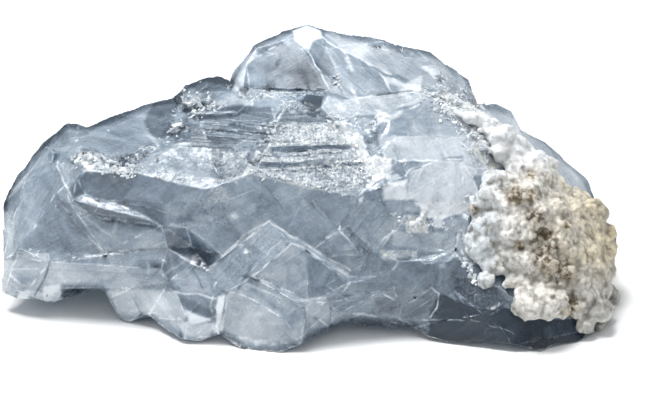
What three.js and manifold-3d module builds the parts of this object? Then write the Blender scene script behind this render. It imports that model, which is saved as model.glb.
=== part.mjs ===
// A hand specimen of celestite: pale blue cleaved crystals grown together into one mass, with a crust of
// white sugary grains over its right end. Millimetres, +Z up, resting on z = 0.
//
// The specimen is laid out on its display face, a plane that leans back from the vertical. A place on it is
// [across, up, out]: across to the right, up along the leaning plane, and out of it towards the viewer.
import * as THREE from "three";
import { ConvexGeometry } from "three/addons/geometries/ConvexGeometry.js";
import { mergeVertices } from "three/addons/utils/BufferGeometryUtils.js";
import Module from "manifold-3d";

const wasm = await Module();
wasm.setup();

// Driving dimensions
const DISPLAY_LEAN = THREE.MathUtils.degToRad(25);
const BACK_OUT = -9; // where the walls behind the display side end
const BACK_SHARE = 0.72; // size of the flat back there, as a share of the outline
const OUTLINE_MIDDLE = [0, 9];
const FLATTENING_ROUNDS = 3;
const HOLD = 0.35; // how firmly a corner keeps its own place while its faces are flattened
const FAR_CRYSTALS = 32;
const FAR_MIDDLE = [-1, 5, 9.5]; // middle and half sizes of the dome that the far side's crystals stand on
const FAR_REACH = [33, 16, 10.5];
const GOLDEN_ANGLE = Math.PI * (3 - Math.sqrt(5)); // turn from one crystal of the far side to the next
const GRAINS = 112;
const GRAIN_SIZES = [1.9, 3.8];
const SEAM = 0.3; // gap between the crust and the crystals that it covers

// A place on the display face as a point in the part's frame.
function place([across, up, out]) {
  const lean = { sin: Math.sin(DISPLAY_LEAN), cos: Math.cos(DISPLAY_LEAN) };
  return new THREE.Vector3(across, up * lean.sin - out * lean.cos, up * lean.cos + out * lean.sin);
}

// The corners of one flat facet: [across, up] pairs on a plane that stands at `out` at their mean place and
// leans by so many millimetres of out for each millimetre across and up.
function facet(out, leanAcross, leanUp, outline) {
  const mean = [0, 1].map((axis) => outline.reduce((sum, c) => sum + c[axis], 0) / outline.length);
  return outline.map(([a, u]) => [a, u, out + leanAcross * (a - mean[0]) + leanUp * (u - mean[1])]);
}

function solid(geometry) {
  const bare = new THREE.BufferGeometry().setAttribute("position", geometry.getAttribute("position"));
  if (geometry.index) bare.setIndex(geometry.index);
  const merged = mergeVertices(bare, 1e-4);
  return new wasm.Manifold(
    new wasm.Mesh({
      numProp: 3,
      vertProperties: new Float32Array(merged.attributes.position.array),
      triVerts: new Uint32Array(merged.index.array),
    }),
  );
}

// A crystal block: the flat-faced solid that spans all the corners given.
function crystal(...rings) {
  return solid(new ConvexGeometry(rings.flat().map(place)));
}

// The display side as one sheet of flat faces. A corner is [across, up, out]; the corners stand in groups by
// where they lie, and a face names its corners by group and number, counted from 1.
const corners = {
  // The outline, clockwise from the lower left.
  rim: [
    [-46.5, -2.3, 10], [-46.5, 3, 9], [-46.5, 11.5, 5], [-44.7, 15.8, 3], [-42, 19.3, 2],
    [-40.5, 21, 1.5],
    [-38.5, 22.5, 1], [-37, 24, 1], [-35.5, 24, 0.5], [-34, 23.4, 1], [-30, 25.2, 0], [-25, 27, -1],
    [-20.5, 28, -1], [-19, 30, -2], [-16, 31, -2.5], [-13.5, 31, -2], [-12.3, 30.3, -1], [-11.8, 31.8, 1],
    [-10.3, 33.5, 1], [-9, 36, 1], [-7, 37, 1], [-4, 38, 1], [-0.5, 39, 1], [2, 38.2, 0.5],
    [6, 37.5, -1], [9.5, 37, -2], [13.5, 35.7, -3], [18, 35, -4], [21, 32.5, -4], [24, 30.7, -4],
    [25.3, 27, -3], [28, 27.2, -5], [30.5, 26, -5], [32, 23, -5], [35.5, 21.3, -5], [38, 19, -5],
    [42, 15.8, -4], [43, 13, -3], [43.3, 9, 0], [44, 5, 3], [43.5, 0, 7], [43, -4.5, 12],
    [42.5, -7, 16.5], [40, -8.7, 20], [36, -9.3, 21.5], [34.5, -10.5, 23.5], [30, -9.2, 22], [25, -9, 21],
    [21, -9, 20.5], [17, -8, 19], [15, -6.8, 17.5], [8, -6.7, 16.5], [5.5, -5.8, 16.5], [3, -6.8, 18.5],
    [-1.5, -9.3, 22.3], [-4, -10.3, 23], [-8.5, -10.5, 23], [-11, -9.5, 22], [-13.5, -7.8, 19],
    [-16.5, -8.8, 20.5],
    [-19, -8.5, 20], [-22, -6.8, 17], [-24, -5.3, 14], [-27.3, -6, 14], [-29, -5.3, 13],
    [-30.5, -2.5, 11],
    [-31.5, -1.2, 11], [-36.5, -1, 12], [-38, -2.8, 12.5], [-39.5, -3.3, 13], [-41.5, -2.6, 13.5],
  ],
  // The clear crystal at the left end.
  left: [
    [-43.5, 5, 14], [-45, 4, 12], [-31, 4.5, 16.5], [-36, 11.7, 15.5], [-38.5, 13, 13], [-36.7, 14.6, 14],
    [-38.3, 18, 9.5], [-40, 20.3, 4], [-43, 15, 7.5], [-39, 3, 15.5], [-42.3, -1, 14.3], [-45, 1, 12.5],
  ],
  sill: [[-21.5, 5.2, 18], [-22.5, 2, 18.5], [-21.3, 0, 19], [-27, -1, 16], [-24, -4.5, 16]],
  toe: [
    [-20.2, -1.5, 19.6], [-18.3, -5.5, 20.6], [-15, -3.4, 20.8], [-14.8, -4.9, 21.3], [-19.2, -3.8, 20.6],
    [-14.6, -6.6, 21], [-17.8, 2.8, 19.2], [-15.2, 2.1, 20], [-14.2, 0, 20.8],
  ],
  // The long ledge with a slit under it.
  slit: [
    [-35.6, 12.4, 18], [-33.5, 13.1, 17], [-30, 12.4, 17.4], [-28, 11.5, 18], [-22.2, 8.5, 19.8],
    [-25, 9.7, 20],
    [-30, 10.7, 19.6], [-31.5, 9.6, 17], [-27.5, 9.1, 18],
  ],
  hollow: [[-18.5, 8.1, 20.3], [-15, 5.8, 20.8], [-13, 3.9, 21], [-17.8, 5.4, 17]],
  // The edge between the steep front and the slopes above it, left to right.
  crest: [
    [-35, 15.6, 17], [-33.5, 16.8, 17.8], [-31, 16.4, 18.5], [-26, 16.4, 19.5], [-22, 15.2, 20.5],
    [-16, 14, 21.6],
    [-14.3, 14.2, 21.8], [-12.3, 15.2, 22], [-9, 16.4, 22.4], [-2.5, 15.3, 22.9], [2, 14, 23.2],
    [5, 13.1, 23.2],
    [7, 12.8, 23], [8.2, 13.6, 22.5], [10.6, 14.5, 22],
  ],
  rough: [[-20, 10, 20.2], [-17, 10.4, 20.6], [-13, 11.2, 21.3], [-10.8, 9.8, 21.8], [-10.6, 5.8, 21.4]],
  front: [[-5, 11.5, 22.1], [5.5, 10.2, 22.6], [4.3, 8.7, 22.2], [0.4, 5.1, 21.8]],
  // The chevron-ended crystal in the middle of the front.
  chevron: [
    [-6.2, 9.2, 21.7], [-3, 6.1, 23.8], [7, 0.8, 21.6], [6, 0.1, 23], [-8.6, 0.9, 23.4],
    [-12.3, -1.2, 22.2],
    [-14, -1.9, 21.2], [-0.6, 4.6, 24], [0.2, -2.8, 23.9], [-2.8, -2.5, 23.8], [-5.5, -0.9, 23.7],
    [4.5, -1.8, 21.8], [2.5, -3, 22.6],
  ],
  // The rounded crystal that the middle stands on.
  lens: [
    [-9.5, 0.1, 23.3], [-0.8, -4, 24], [-1, -6, 23.7], [-4, -5.5, 24.2], [-8.5, -2.6, 24.3],
    [-13.2, -4, 22.5],
    [-14, -6.4, 21.5],
  ],
  small: [[4.2, 7.8, 22.9], [8, 4, 22.6], [8.8, 4.5, 21.9]],
  bench: [
    [8, 11.6, 21.8], [10.7, 11.8, 21.6], [12.4, 8.7, 21.4], [11, 5.9, 21.4], [10.3, 4.6, 21.5],
    [9, 3.7, 21.6],
    [13.8, 14.5, 20.8], [14.4, 12.3, 21], [16.3, 11.4, 20.5], [15.8, 10.5, 20.7], [14, 10.3, 20.9],
    [13.5, 8.9, 21.2], [16.2, 7.3, 20.8], [18.6, 7.8, 20], [20.5, 7.4, 19.5], [21.8, 6.2, 19.6],
    [21.5, 4.7, 20],
    [15, 4.7, 21.6], [21.8, 4, 20.8], [20.5, 3.2, 21.3], [17, 2.8, 21.8], [16.3, 3.4, 21.8],
    [13, 3.2, 21.8],
    [12.3, 2, 21.4], [17, 9.8, 20.3], [19.6, 9.7, 19.8],
  ],
  // The shaded faces at the lower right.
  shade: [
    [22.3, 2.2, 20], [20.8, 0.8, 20.5], [21.3, -1.2, 20.6], [20.3, -2.2, 20.7], [19.2, -1.6, 21],
    [17.3, -0.8, 21.2],
    [14, -2.8, 20.4], [12.3, -0.7, 20.8], [18.6, -4, 20.8], [17, -5.6, 20], [13.5, -5.5, 18.5],
    [13, -4, 19.3],
    [23, -3.4, 20.8], [23.5, -4.9, 20.9], [20, -5.6, 20.6], [27.5, -5, 21.5], [28.5, -7, 22],
    [22.5, 0.2, 20.2],
    [25, -0.3, 20.5], [28.5, -1, 21], [28, -3, 21.5], [25.5, -4.7, 21.5], [10, 1, 21.5], [11, -1.1, 21],
    [8, -1.8, 21.5], [9, -4.9, 18.3], [4.5, -4.5, 19], [3.3, -3.8, 20.5], [31.2, -3.3, 21.5],
    [31.7, -5, 22.3],
    [36, -5, 22], [41, -4.5, 18],
  ],
  // The slopes at the upper left.
  slope: [
    [-26.3, 17, 18.3], [-24.5, 18.6, 16.8], [-21.5, 19.8, 15.6], [-19, 21, 14.3], [-15, 20.4, 15.2],
    [-15.1, 18.5, 17.2], [-13.5, 15.7, 20.8], [-8.4, 19.4, 19.5], [-12, 20.7, 16.5], [-36, 19, 11],
    [-34.5, 20.3, 9.5], [-32, 20.4, 11], [-30, 19, 13.5], [-25.5, 20, 13], [-24, 19.4, 14],
    [-33, 22.5, 5.5],
    [-25.3, 22.9, 7.5], [-23, 20.5, 12.8], [-23.5, 24.5, 5.5], [-21, 23.4, 8.5], [-20.3, 21.5, 11.5],
    [-36, 22, 4],
  ],
  knob: [
    [-19.8, 25.5, 4.5], [-17, 28.7, 1.5], [-15.5, 27.3, 4.5], [-15.3, 26.5, 6.5], [-17.3, 25, 8],
    [-12.5, 29, 2],
    [-11, 28.9, 4], [-9.3, 29.1, 6.5], [-9, 27.2, 9], [-8.8, 26.4, 10.5], [-5.6, 26, 13],
  ],
  // The edges of the fine steps on the dark slope: down its left side, then down its right.
  comb: [
    [-15.6, 21.6, 13.4], [-15.7, 21.9, 13.8], [-16.2, 22.8, 12], [-16.3, 23.1, 12.4], [-16.8, 23.9, 10.6],
    [-16.9, 24.2, 11], [-6.1, 21, 19.2], [-6, 21.3, 19.6], [-5.8, 22.1, 18.1], [-5.7, 22.4, 18.5],
    [-5.4, 23.2, 16.8], [-5.35, 23.5, 17.1],
  ],
  // The stepped and frosted slope over the middle.
  stripe: [
    [-8.2, 17.2, 21.4], [-7.6, 18, 21.7], [-7, 19.3, 20], [-6.4, 20.3, 20.3], [-5.2, 23.9, 15.8],
    [8.4, 14.6, 21.3],
    [8, 17.6, 18.9], [7.6, 18.2, 19.1], [6.5, 20.1, 17.3], [6, 20.7, 17.5], [2.8, 24.4, 14.4],
    [1.5, 25.8, 14.6],
    [-4.3, 25.7, 16.1], [-1.8, 27.5, 13], [-4, 27.2, 13], [1.6, 28.1, 11],
  ],
  top: [
    [-10.3, 29.2, 8], [-9.8, 33, 6], [-8.3, 35.3, 5], [-2.8, 36.9, 5.5], [-0.4, 34.6, 7], [1, 32, 8.5],
    [2.4, 28.7, 10.5], [-5, 29, 9.5], [1.5, 36.8, 4.5], [5, 34.8, 5.5], [8, 33.1, 6.5], [11, 31.2, 8],
    [12, 28.5, 10.5], [6.5, 27.5, 12.3], [2.6, 27.9, 12], [3.5, 33.5, 7.3], [4.3, 30.5, 9.5],
    [5.8, 28.2, 11.5],
    [10.5, 32.6, 6], [16.7, 31.2, 4], [16.8, 29, 8], [13.8, 29.8, 8.5], [20, 30, 3], [22.3, 27.2, 5.5],
    [18.5, 28.6, 9.5],
  ],
  shelf: [
    [1.6, 26.2, 14], [2.5, 24.9, 15], [4, 24, 15.5], [9.8, 25, 15], [16.5, 27.1, 12.3], [6.8, 24, 16],
    [8.3, 22.2, 17], [8.3, 19.5, 18.3], [10.1, 23.2, 16.5], [11.3, 18.6, 18.5], [12.1, 21.2, 17.5],
    [13, 22.4, 16.3], [14, 24.8, 14.3], [19.3, 27.4, 11], [22.5, 25, 11.5], [24, 23, 12.3],
    [23.8, 21.7, 13.5],
    [15, 21.8, 16.5], [25, 21, 13.5], [22.5, 19, 16], [18.8, 18.3, 17.6], [10.2, 15.8, 20.3],
    [14.8, 16.4, 19.8],
    [22.7, 18, 16.8], [24.3, 15.3, 17.3], [24, 19.4, 15.3], [26.6, 19.2, 13.8], [26.3, 16.3, 15.8],
    [23.3, 25.5, 9.5], [28, 21.2, 9], [25.2, 22.3, 12], [20.3, 9.9, 19], [23.2, 10.9, 18],
    [22.2, 8, 18.6],
    [23.8, 8.8, 18],
  ],
  // The bed under the crust.
  bed: [
    [26, 11, 17], [25.3, 6, 18.3], [24.5, 1, 19.8], [30, 18.5, 10.5], [33.5, 17.5, 8], [37.5, 13.3, 7],
    [41, 9.3, 5.5], [33, 12, 13], [38, 6, 12], [33, 3, 16.5], [39, -1, 15], [31, 22.3, 5],
  ],
};

const faces = [
  // left end and sill
  "left1 left5 left4 left3", "left1 left9 left7 left6 left5", "left5 left6 slit1 left4",
  "left1 left2 rim2 rim3 left9", "left9 rim3 rim4 rim5 rim6 left8 left7",
  "left1 left3 sill1 sill2 left10", "left1 left10 rim71 left11 left12 left2", "left2 left12 rim1 rim2",
  "left12 left11 rim71 rim1", "left10 sill2 sill3 sill4 rim67 rim68 rim69 rim70 rim71",
  "rim67 sill4 sill5 rim63 rim64 rim65 rim66", "sill4 sill3 toe1 toe5 toe2 sill5",
  "sill5 toe2 rim61 rim62 rim63", "toe1 toe3 toe4 toe5", "toe5 toe4 toe6 toe2",
  "toe2 toe6 rim59 rim60 rim61", "toe9 chevron7 lens6 lens7 toe6 toe4 toe3", "toe6 lens7 rim59",
  "sill3 toe7 toe8 toe9 toe3 toe1", "sill1 toe7 sill3 sill2", "sill1 slit5 hollow1 hollow4",
  "hollow1 hollow2 hollow4", "hollow2 hollow3 toe8 hollow4", "toe8 toe7 hollow4", "toe7 sill1 hollow4",
  "slit5 rough1 hollow1", "left3 left4 slit1 slit8 slit9 slit6 slit5 sill1",
  "slit1 slit7 slit6 slit9 slit8", "slit1 slit2 slit3 slit4 slit5 slit6 slit7",
  "left6 crest1 crest2 crest3 crest4 crest5 crest6 rough1 slit5 slit4 slit3 slit2 slit1",
  // front
  "rough1 crest6 crest7 rough3 rough2", "rough1 rough2 rough3 rough4 rough5 hollow3 hollow2 hollow1",
  "rough3 crest7 crest8 crest9 front1 chevron1 rough5 rough4",
  "crest9 crest10 crest11 crest12 front2 front3 front4 chevron1 front1",
  "chevron1 chevron2 chevron5 lens1 chevron6 chevron7 toe9 toe8 hollow3 rough5",
  "chevron1 front4 chevron3 chevron4 chevron8 chevron2",
  "chevron2 chevron8 chevron9 chevron10 chevron11 chevron5",
  "chevron8 chevron4 chevron12 chevron13 chevron9",
  "chevron6 lens1 chevron5 chevron11 chevron10 lens2 lens4 lens5",
  "chevron7 chevron6 lens5 lens4 lens3 rim55 rim56 rim57 rim58 rim59 lens7 lens6", "lens2 lens3 lens4",
  "chevron9 chevron13 shade28 rim54 rim55 lens3 lens2 chevron10", "front4 small1 small2 chevron3",
  "front3 small1 front4", "front3 small3 small2 small1",
  "crest12 crest13 bench1 bench2 bench3 bench4 bench5 bench6 small3 front3 front2",
  "crest13 crest14 crest15 bench2 bench1", "crest15 bench7 bench8 bench2",
  "bench2 bench8 bench9 bench10 bench11 bench12 bench3",
  "small2 small3 bench6 bench5 bench23 bench24 shade23 chevron3",
  "bench4 bench3 bench12 bench13 bench14 bench15 bench16 bench17 bench18 bench5",
  "bench5 bench18 bench17 bench19 bench20 bench21 bench22 bench23",
  "bench24 bench23 bench22 bench21 bench20 bench19 shade1 shade2 shade3 shade4 shade5 shade6 shade7 " +
    "shade8",
  "shade6 shade5 shade9 shade10 rim51 shade11 shade12 shade7",
  "shade5 shade4 shade13 shade14 shade15 shade10 shade9",
  "shade10 shade15 shade14 shade22 shade16 shade17 rim47 rim48 rim49 rim50 rim51",
  "shade4 shade3 shade18 shade19 shade20 shade21 shade22 shade14 shade13",
  "shade1 bed3 shade19 shade18 shade3 shade2",
  "shade20 shade29 shade30 shade31 shade32 rim42 rim43 rim44 rim45 rim46 rim47 shade17 shade16 shade22 " +
    "shade21",
  "chevron3 shade23 bench24 shade8 shade24 shade25 chevron12 chevron4",
  "chevron12 shade25 shade24 shade8 shade7 shade12 shade11 shade26 shade27 shade28 chevron13",
  "shade27 shade26 shade11 rim51 rim52 rim53 rim54 shade28",
  "bench10 bench25 bench14 bench13 bench12 bench11", "bench25 bench26 bench15 bench14",
  "bench26 shelf32 shelf33 shelf35 shelf34 bench16 bench15",
  "bench16 shelf34 shelf35 bed2 bed3 shade1 bench19 bench17",
  // slopes
  "slope1 slope2 slope3 slope4 slope5 slope6 slope7 crest7 crest6 crest5 crest4",
  "slope7 crest8 crest7", "slope5 slope9 slope8 crest9 crest8 slope7 slope6",
  "crest9 slope8 stripe4 stripe3 stripe2 stripe1",
  "slope5 slope4 slope21 slope20 knob1 knob5 comb6 comb5 comb4 comb3 comb2 comb1",
  "slope5 comb1 comb7 stripe4 slope8 slope9", "comb1 comb2 comb8 comb7", "comb2 comb3 comb9 comb8",
  "comb3 comb4 comb10 comb9", "comb4 comb5 comb11 comb10", "comb5 comb6 comb12 comb11",
  "comb6 knob5 knob4 knob10 knob11 stripe13 stripe5 comb12", "knob10 knob9 stripe15 knob11",
  "knob11 stripe15 stripe14 stripe12 stripe13", "stripe14 stripe16 stripe12",
  "stripe16 top15 shelf1 stripe12", "knob9 knob8 top8 top7 top15 stripe16 stripe14 stripe15",
  "knob4 knob3 knob7 knob8 knob9 knob10", "rim14 rim15 rim16 rim17 knob6 knob2",
  "knob2 knob6 knob7 knob3", "knob6 rim17 rim18 top1 knob7", "knob7 top1 knob8",
  "rim13 rim14 knob2 knob3 knob4 knob5 knob1", "rim10 rim11 rim12 slope19 slope17 slope16",
  "rim12 rim13 knob1 slope20 slope19",
  "slope11 slope16 slope17 slope18 slope15 slope14 slope13 slope12",
  "slope17 slope19 slope20 slope21 slope18", "slope15 slope18 slope21 slope4 slope3 slope2",
  "slope10 slope11 slope12 slope13 slope14 slope15 slope2 slope1 crest4 crest3 crest2",
  "left7 slope10 crest2 crest1 left6", "left7 left8 rim6 rim7 rim8 slope22 slope11 slope10",
  "slope22 rim8 rim9 rim10 slope16 slope11",
  "crest9 stripe1 stripe7 stripe6 crest14 crest13 crest12 crest11 crest10",
  "stripe1 stripe2 stripe8 stripe7", "stripe2 stripe3 stripe9 stripe8",
  "stripe3 stripe4 stripe10 stripe9",
  "stripe4 comb7 comb8 comb9 comb10 comb11 comb12 stripe5 stripe11 stripe10",
  "stripe5 stripe13 stripe12 stripe11", "stripe12 shelf1 shelf2 stripe11", "stripe11 shelf2 shelf3",
  "stripe8 stripe9 stripe10 stripe11 shelf3 shelf6 shelf7 shelf8",
  "stripe7 stripe8 shelf8 shelf10 shelf22 stripe6", "shelf22 shelf10 shelf21 shelf23",
  "stripe6 shelf22 shelf23 bench7 crest15 crest14",
  "bench7 shelf23 shelf21 shelf24 shelf25 bed1 shelf33 shelf32 bench26 bench25 bench10 bench9 bench8",
  // top and right
  "top1 top2 top3 top4 top5 top6 top7 top8 knob8", "top1 rim18 rim19 rim20 top3 top2",
  "top3 rim20 rim21 rim22 top4", "top4 rim22 rim23 rim24 top9 top5",
  "top7 top6 top5 top9 top16 top17 top18 top14 top15",
  "top16 top9 top10 top11 top12 top13 top14 top18 top17", "top9 rim24 rim25 rim26 top19 top11 top10",
  "top11 top19 top20 top21 top22 top12", "top12 top22 top13", "top19 rim26 rim27 rim28 top20",
  "top20 rim28 rim29 rim30 top23", "top23 rim30 rim31 top24", "top20 top23 top24 top25 top21",
  "shelf1 top15 top14 top13 top22 top21 top25 shelf5 shelf4 shelf6 shelf3 shelf2",
  "shelf4 shelf5 shelf13 shelf9", "shelf6 shelf4 shelf9 shelf10 shelf8 shelf7",
  "shelf9 shelf12 shelf11 shelf10",
  "shelf9 shelf13 shelf5 shelf14 shelf15 shelf16 shelf17 shelf18 shelf12",
  "shelf12 shelf18 shelf17 shelf19 shelf26 shelf20 shelf21 shelf10 shelf11",
  "shelf20 shelf26 shelf27 shelf28 shelf25 shelf24", "shelf21 shelf20 shelf24",
  "shelf5 top25 top24 shelf29 shelf15 shelf14", "top24 rim31 bed12 shelf30 shelf29",
  "rim31 rim32 rim33 rim34 bed12", "shelf29 shelf30 shelf31 shelf16 shelf15",
  "shelf16 shelf31 shelf19 shelf17", "shelf31 shelf30 shelf27 shelf26 shelf19",
  // bed of the crust
  "bed12 rim34 rim35 rim36 bed5 bed4", "shelf30 bed12 bed4", "bed5 rim36 rim37 rim38 bed6",
  "bed6 rim38 rim39 bed7", "shelf27 shelf30 bed4 bed8 bed1 shelf28", "shelf25 shelf28 bed1",
  "bed4 bed5 bed6 bed8", "bed6 bed7 bed9 bed8", "bed7 rim39 rim40 bed9",
  "shelf33 bed1 bed8 bed10 bed2 shelf35", "bed2 bed10 shade20 shade19 bed3", "bed8 bed9 bed10",
  "bed9 rim40 rim41 bed11", "bed9 bed11 bed10", "bed11 rim41 rim42 shade32",
  "bed10 bed11 shade32 shade31 shade30 shade29 shade20",
];

// Every face is brought closer to flat: a corner moves in or out to where the planes of its faces would
// have it.
function settled() {
  const out = {};
  for (const [group, places] of Object.entries(corners)) {
    places.forEach(([, , o], i) => (out[`${group}${i + 1}`] = o));
  }
  const outlines = faces.map((face) => face.split(" ").map((name) => ({ name, at: at(name) })));
  for (let round = 0; round < FLATTENING_ROUNDS; round += 1) {
    const wanted = {};
    for (const outline of outlines) {
      const plane = bestPlane(outline.map(({ name, at: [a, u] }) => [a, u, out[name]]));
      for (const { name, at: [a, u] } of outline) (wanted[name] ??= []).push(plane(a, u));
    }
    for (const [name, values] of Object.entries(wanted)) {
      const mean = values.reduce((sum, v) => sum + v, 0) / values.length;
      out[name] += (mean - out[name]) * (1 - HOLD) + (at(name)[2] - out[name]) * HOLD * 0.5;
    }
  }
  return out;
}

function at(name) {
  const [, group, number] = name.match(/^([a-z]+)(\d+)$/);
  return corners[group][number - 1];
}

// The plane nearest to some [across, up, out] places, as a function of across and up.
function bestPlane(places) {
  const mean = [0, 1, 2].map((axis) => places.reduce((sum, p) => sum + p[axis], 0) / places.length);
  let [aa, au, uu, ao, uo] = [0, 0, 0, 0, 0];
  for (const p of places) {
    const [a, u, o] = p.map((v, axis) => v - mean[axis]);
    aa += a * a;
    au += a * u;
    uu += u * u;
    ao += a * o;
    uo += u * o;
  }
  const spread = aa * uu - au * au + 1e-9;
  const leanAcross = (uu * ao - au * uo) / spread;
  const leanUp = (aa * uo - au * ao) / spread;
  return (a, u) => mean[2] + leanAcross * (a - mean[0]) + leanUp * (u - mean[1]);
}

// The sheet as a solid: its faces in front, and behind them walls that close in a little towards a flat
// back.
function body() {
  const out = settled();
  const points = new Map();
  const named = (name) => {
    const [a, u] = at(name);
    if (!points.has(name)) points.set(name, { index: points.size, where: [a, u, out[name]] });
    return points.get(name).index;
  };
  const triangles = [];
  for (const face of faces) {
    const names = face.split(" ");
    const flat = names.map((name) => new THREE.Vector2(...at(name)));
    if (THREE.ShapeUtils.isClockWise(flat)) {
      names.reverse();
      flat.reverse();
    }
    for (const triple of THREE.ShapeUtils.triangulateShape(flat, [])) {
      triangles.push(...triple.map((i) => named(names[i])));
    }
  }
  const rim = corners.rim.map((corner, i) => named(`rim${i + 1}`));
  const where = [...points.values()].map((point) => point.where);
  const first = where.length;
  const ring = corners.rim.map(([a, u]) => [
    OUTLINE_MIDDLE[0] + (a - OUTLINE_MIDDLE[0]) * BACK_SHARE,
    OUTLINE_MIDDLE[1] + (u - OUTLINE_MIDDLE[1]) * BACK_SHARE,
    BACK_OUT,
  ]);
  where.push(...ring);
  rim.forEach((corner, i) => {
    const next = (i + 1) % rim.length;
    triangles.push(rim[next], first + i, corner, rim[next], first + next, first + i);
  });
  const back = ring.map(([a, u]) => new THREE.Vector2(a, u));
  for (const [p, q, r] of THREE.ShapeUtils.triangulateShape([...back].reverse(), [])) {
    const from = (i) => first + back.length - 1 - i;
    triangles.push(from(r), from(q), from(p));
  }
  const geometry = new THREE.BufferGeometry()
    .setAttribute("position", new THREE.Float32BufferAttribute(where.flatMap((w) => place(w).toArray()), 3))
    .setIndex(triangles);
  return solid(geometry);
}

const display = body();

// A whole blocky crystal: a plate trimmed on its long edges by prism faces and on its ends by domes, the
// plate's broad face turned to look along `facing` and spun about that line.
function tablet(centre, facing, spin, size) {
  const [width, length, thickness] = size;
  let made = solid(new THREE.BoxGeometry(width, length, thickness));
  const trims = [
    [[0.83, 0.55, 0], 0.46], [[-0.83, 0.55, 0], 0.46], [[0.83, -0.55, 0], 0.46], [[-0.83, -0.55, 0], 0.46],
    [[0.64, 0, 0.77], 0.42], [[-0.64, 0, 0.77], 0.42], [[0, 0.79, 0.61], 0.47], [[0, -0.79, 0.61], 0.47],
  ];
  for (const [normal, share] of trims) {
    const reach = normal.reduce((sum, v, axis) => sum + Math.abs(v) * size[axis], 0);
    made = made.trimByPlane(normal.map((v) => -v), -share * reach * 0.86);
  }
  const turn = new THREE.Quaternion()
    .setFromUnitVectors(new THREE.Vector3(0, 0, 1), new THREE.Vector3(...facing).normalize())
    .multiply(new THREE.Quaternion().setFromAxisAngle(new THREE.Vector3(0, 0, 1), spin * (Math.PI / 180)));
  const where = new THREE.Matrix4().compose(new THREE.Vector3(...centre), turn, new THREE.Vector3(1, 1, 1));
  return made.transform(where.elements);
}

// A repeatable stream of numbers from 0 to 1.
function dice(seed) {
  let state = seed;
  return () => {
    state = (state * 1664525 + 1013904223) % 4294967296;
    return state / 4294967296;
  };
}

// The far side: blocky crystals spread evenly over the back of an oval dome, each one tipped by chance.
function farSide(seed) {
  const roll = dice(seed);
  const between = (low, high) => low + (high - low) * roll();
  const made = [];
  for (let i = 0; i < FAR_CRYSTALS; i += 1) {
    const height = 0.98 - (1.3 * (i + 0.5)) / FAR_CRYSTALS;
    const turn = i * GOLDEN_ANGLE;
    const ring = Math.sqrt(1 - height * height);
    const out = [ring * Math.cos(turn), height, ring * Math.sin(turn)];
    if (out[2] < -0.35 || (out[1] < 0.25 && out[2] > 0.6)) continue;
    const where = out.map((v, axis) => FAR_MIDDLE[axis] + v * FAR_REACH[axis]);
    const facing = out.map((v, axis) => v / FAR_REACH[axis] + between(-0.012, 0.012));
    made.push(tablet(where, facing, between(0, 180), [between(13, 18), between(14, 21), between(7, 10)]));
  }
  return made;
}

const behind = [
  ...farSide(11),
  tablet([-3, 17.5, 26.5], [-0.3, 0.85, 0.45], 25, [12, 13, 7]),
  tablet([7, 17, 26.5], [0.15, 0.9, 0.5], 70, [13, 12, 7]),
  tablet([17, 14.5, 23.5], [0.45, 0.75, 0.5], 40, [14, 12, 7]),
  tablet([-15, 17, 18], [-0.4, 0.8, 0.45], 5, [13, 14, 7]),
];

// The bare mass of the far side, under its crystals.
const heart = crystal(
  facet(0, 0, 0, [
    [-36, 4], [-36, 14], [-24, 20], [-8, 28], [10, 28], [26, 20], [36, 12], [38, 2], [30, -6], [-24, -4],
  ]),
  facet(-14, 0, 0, [[-28, 8], [-20, 16], [-6, 22], [10, 22], [24, 14], [30, 6], [24, -2], [-20, -2]]),
);

// Everything under the resting plane is cut away, so that the specimen stands on a flat break.
function restFlat(mass) {
  return mass.trimByPlane([0, 0, 1], 0);
}

// The underside runs up towards its edges in shallow breaks: each is [place on its foot, way it climbs].
function undercut(mass) {
  const breaks = [
    [[0, 11, 0], [0.1, 1]], [[-22, 6, 0], [-0.7, 0.7]], [[27, 8, 0], [0.7, 0.75]], [[-31, 0, 0], [-1, 0.1]],
    [[38, 4, 0], [1, 0.1]], [[-12, 14, 0], [-0.35, 1]],
  ];
  return breaks.reduce((rest, [foot, way], i) => {
    const slope = 0.2 + 0.05 * (i % 3);
    const normal = new THREE.Vector3(-way[0] * slope, -way[1] * slope, 1).normalize();
    return rest.trimByPlane(normal.toArray(), normal.dot(new THREE.Vector3(...foot)));
  }, mass);
}

// The outer skin of a joined mass, without loose chips or pockets sealed inside it.
function largest(made) {
  return made.decompose().reduce((best, piece) => (piece.volume() > best.volume() ? piece : best));
}

const join = (blocks) => blocks.reduce((sum, block) => sum.add(block));

// Small crystals that fill the seams of the display side: [place, size].
const specks = [
  [[-35, 18.6, 12.5], 1.8], [[-33.6, 19, 12], 2.2], [[-32.4, 18.2, 13.6], 2.4], [[-31, 17.6, 15], 2],
  [[-29.5, 17.4, 15.8], 1.8], [[-28, 17.8, 15.8], 2], [[-26.8, 18.6, 15], 1.7], [[-25.4, 19.2, 14.2], 1.9],
  [[-37.4, 17, 11.6], 1.5], [[-38.6, 18.8, 8.4], 1.8], [[-20, 23.2, 9.6], 2.2], [[-15.6, 27, 5.4], 1.8],
  [[-17.8, 26.8, 4.6], 2.6], [[-19.2, 27.6, 2.6], 2.4], [[-8.4, 18.6, 20.6], 1.6],
  [[-7.6, 20.4, 18.6], 1.4],
  [[15.6, 8.4, 20.7], 1.6], [[16.6, 9, 20.2], 1.8], [[17.6, 8.2, 20], 1.3], [[7.4, 12.2, 22.4], 1.1],
  [[9, 21.4, 17.2], 1.5], [[9.6, 22.6, 16.6], 1.3], [[24.6, 22, 12.6], 1.8], [[25.6, 20.4, 13.4], 1.6],
  [[3.8, 30.8, 9], 1.2], [[19.4, 28.4, 9], 1.5], [[21.4, 27, 8], 1.7], [[23.2, 9.4, 18], 1.6],
];
const speckRoll = dice(5);
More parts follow.
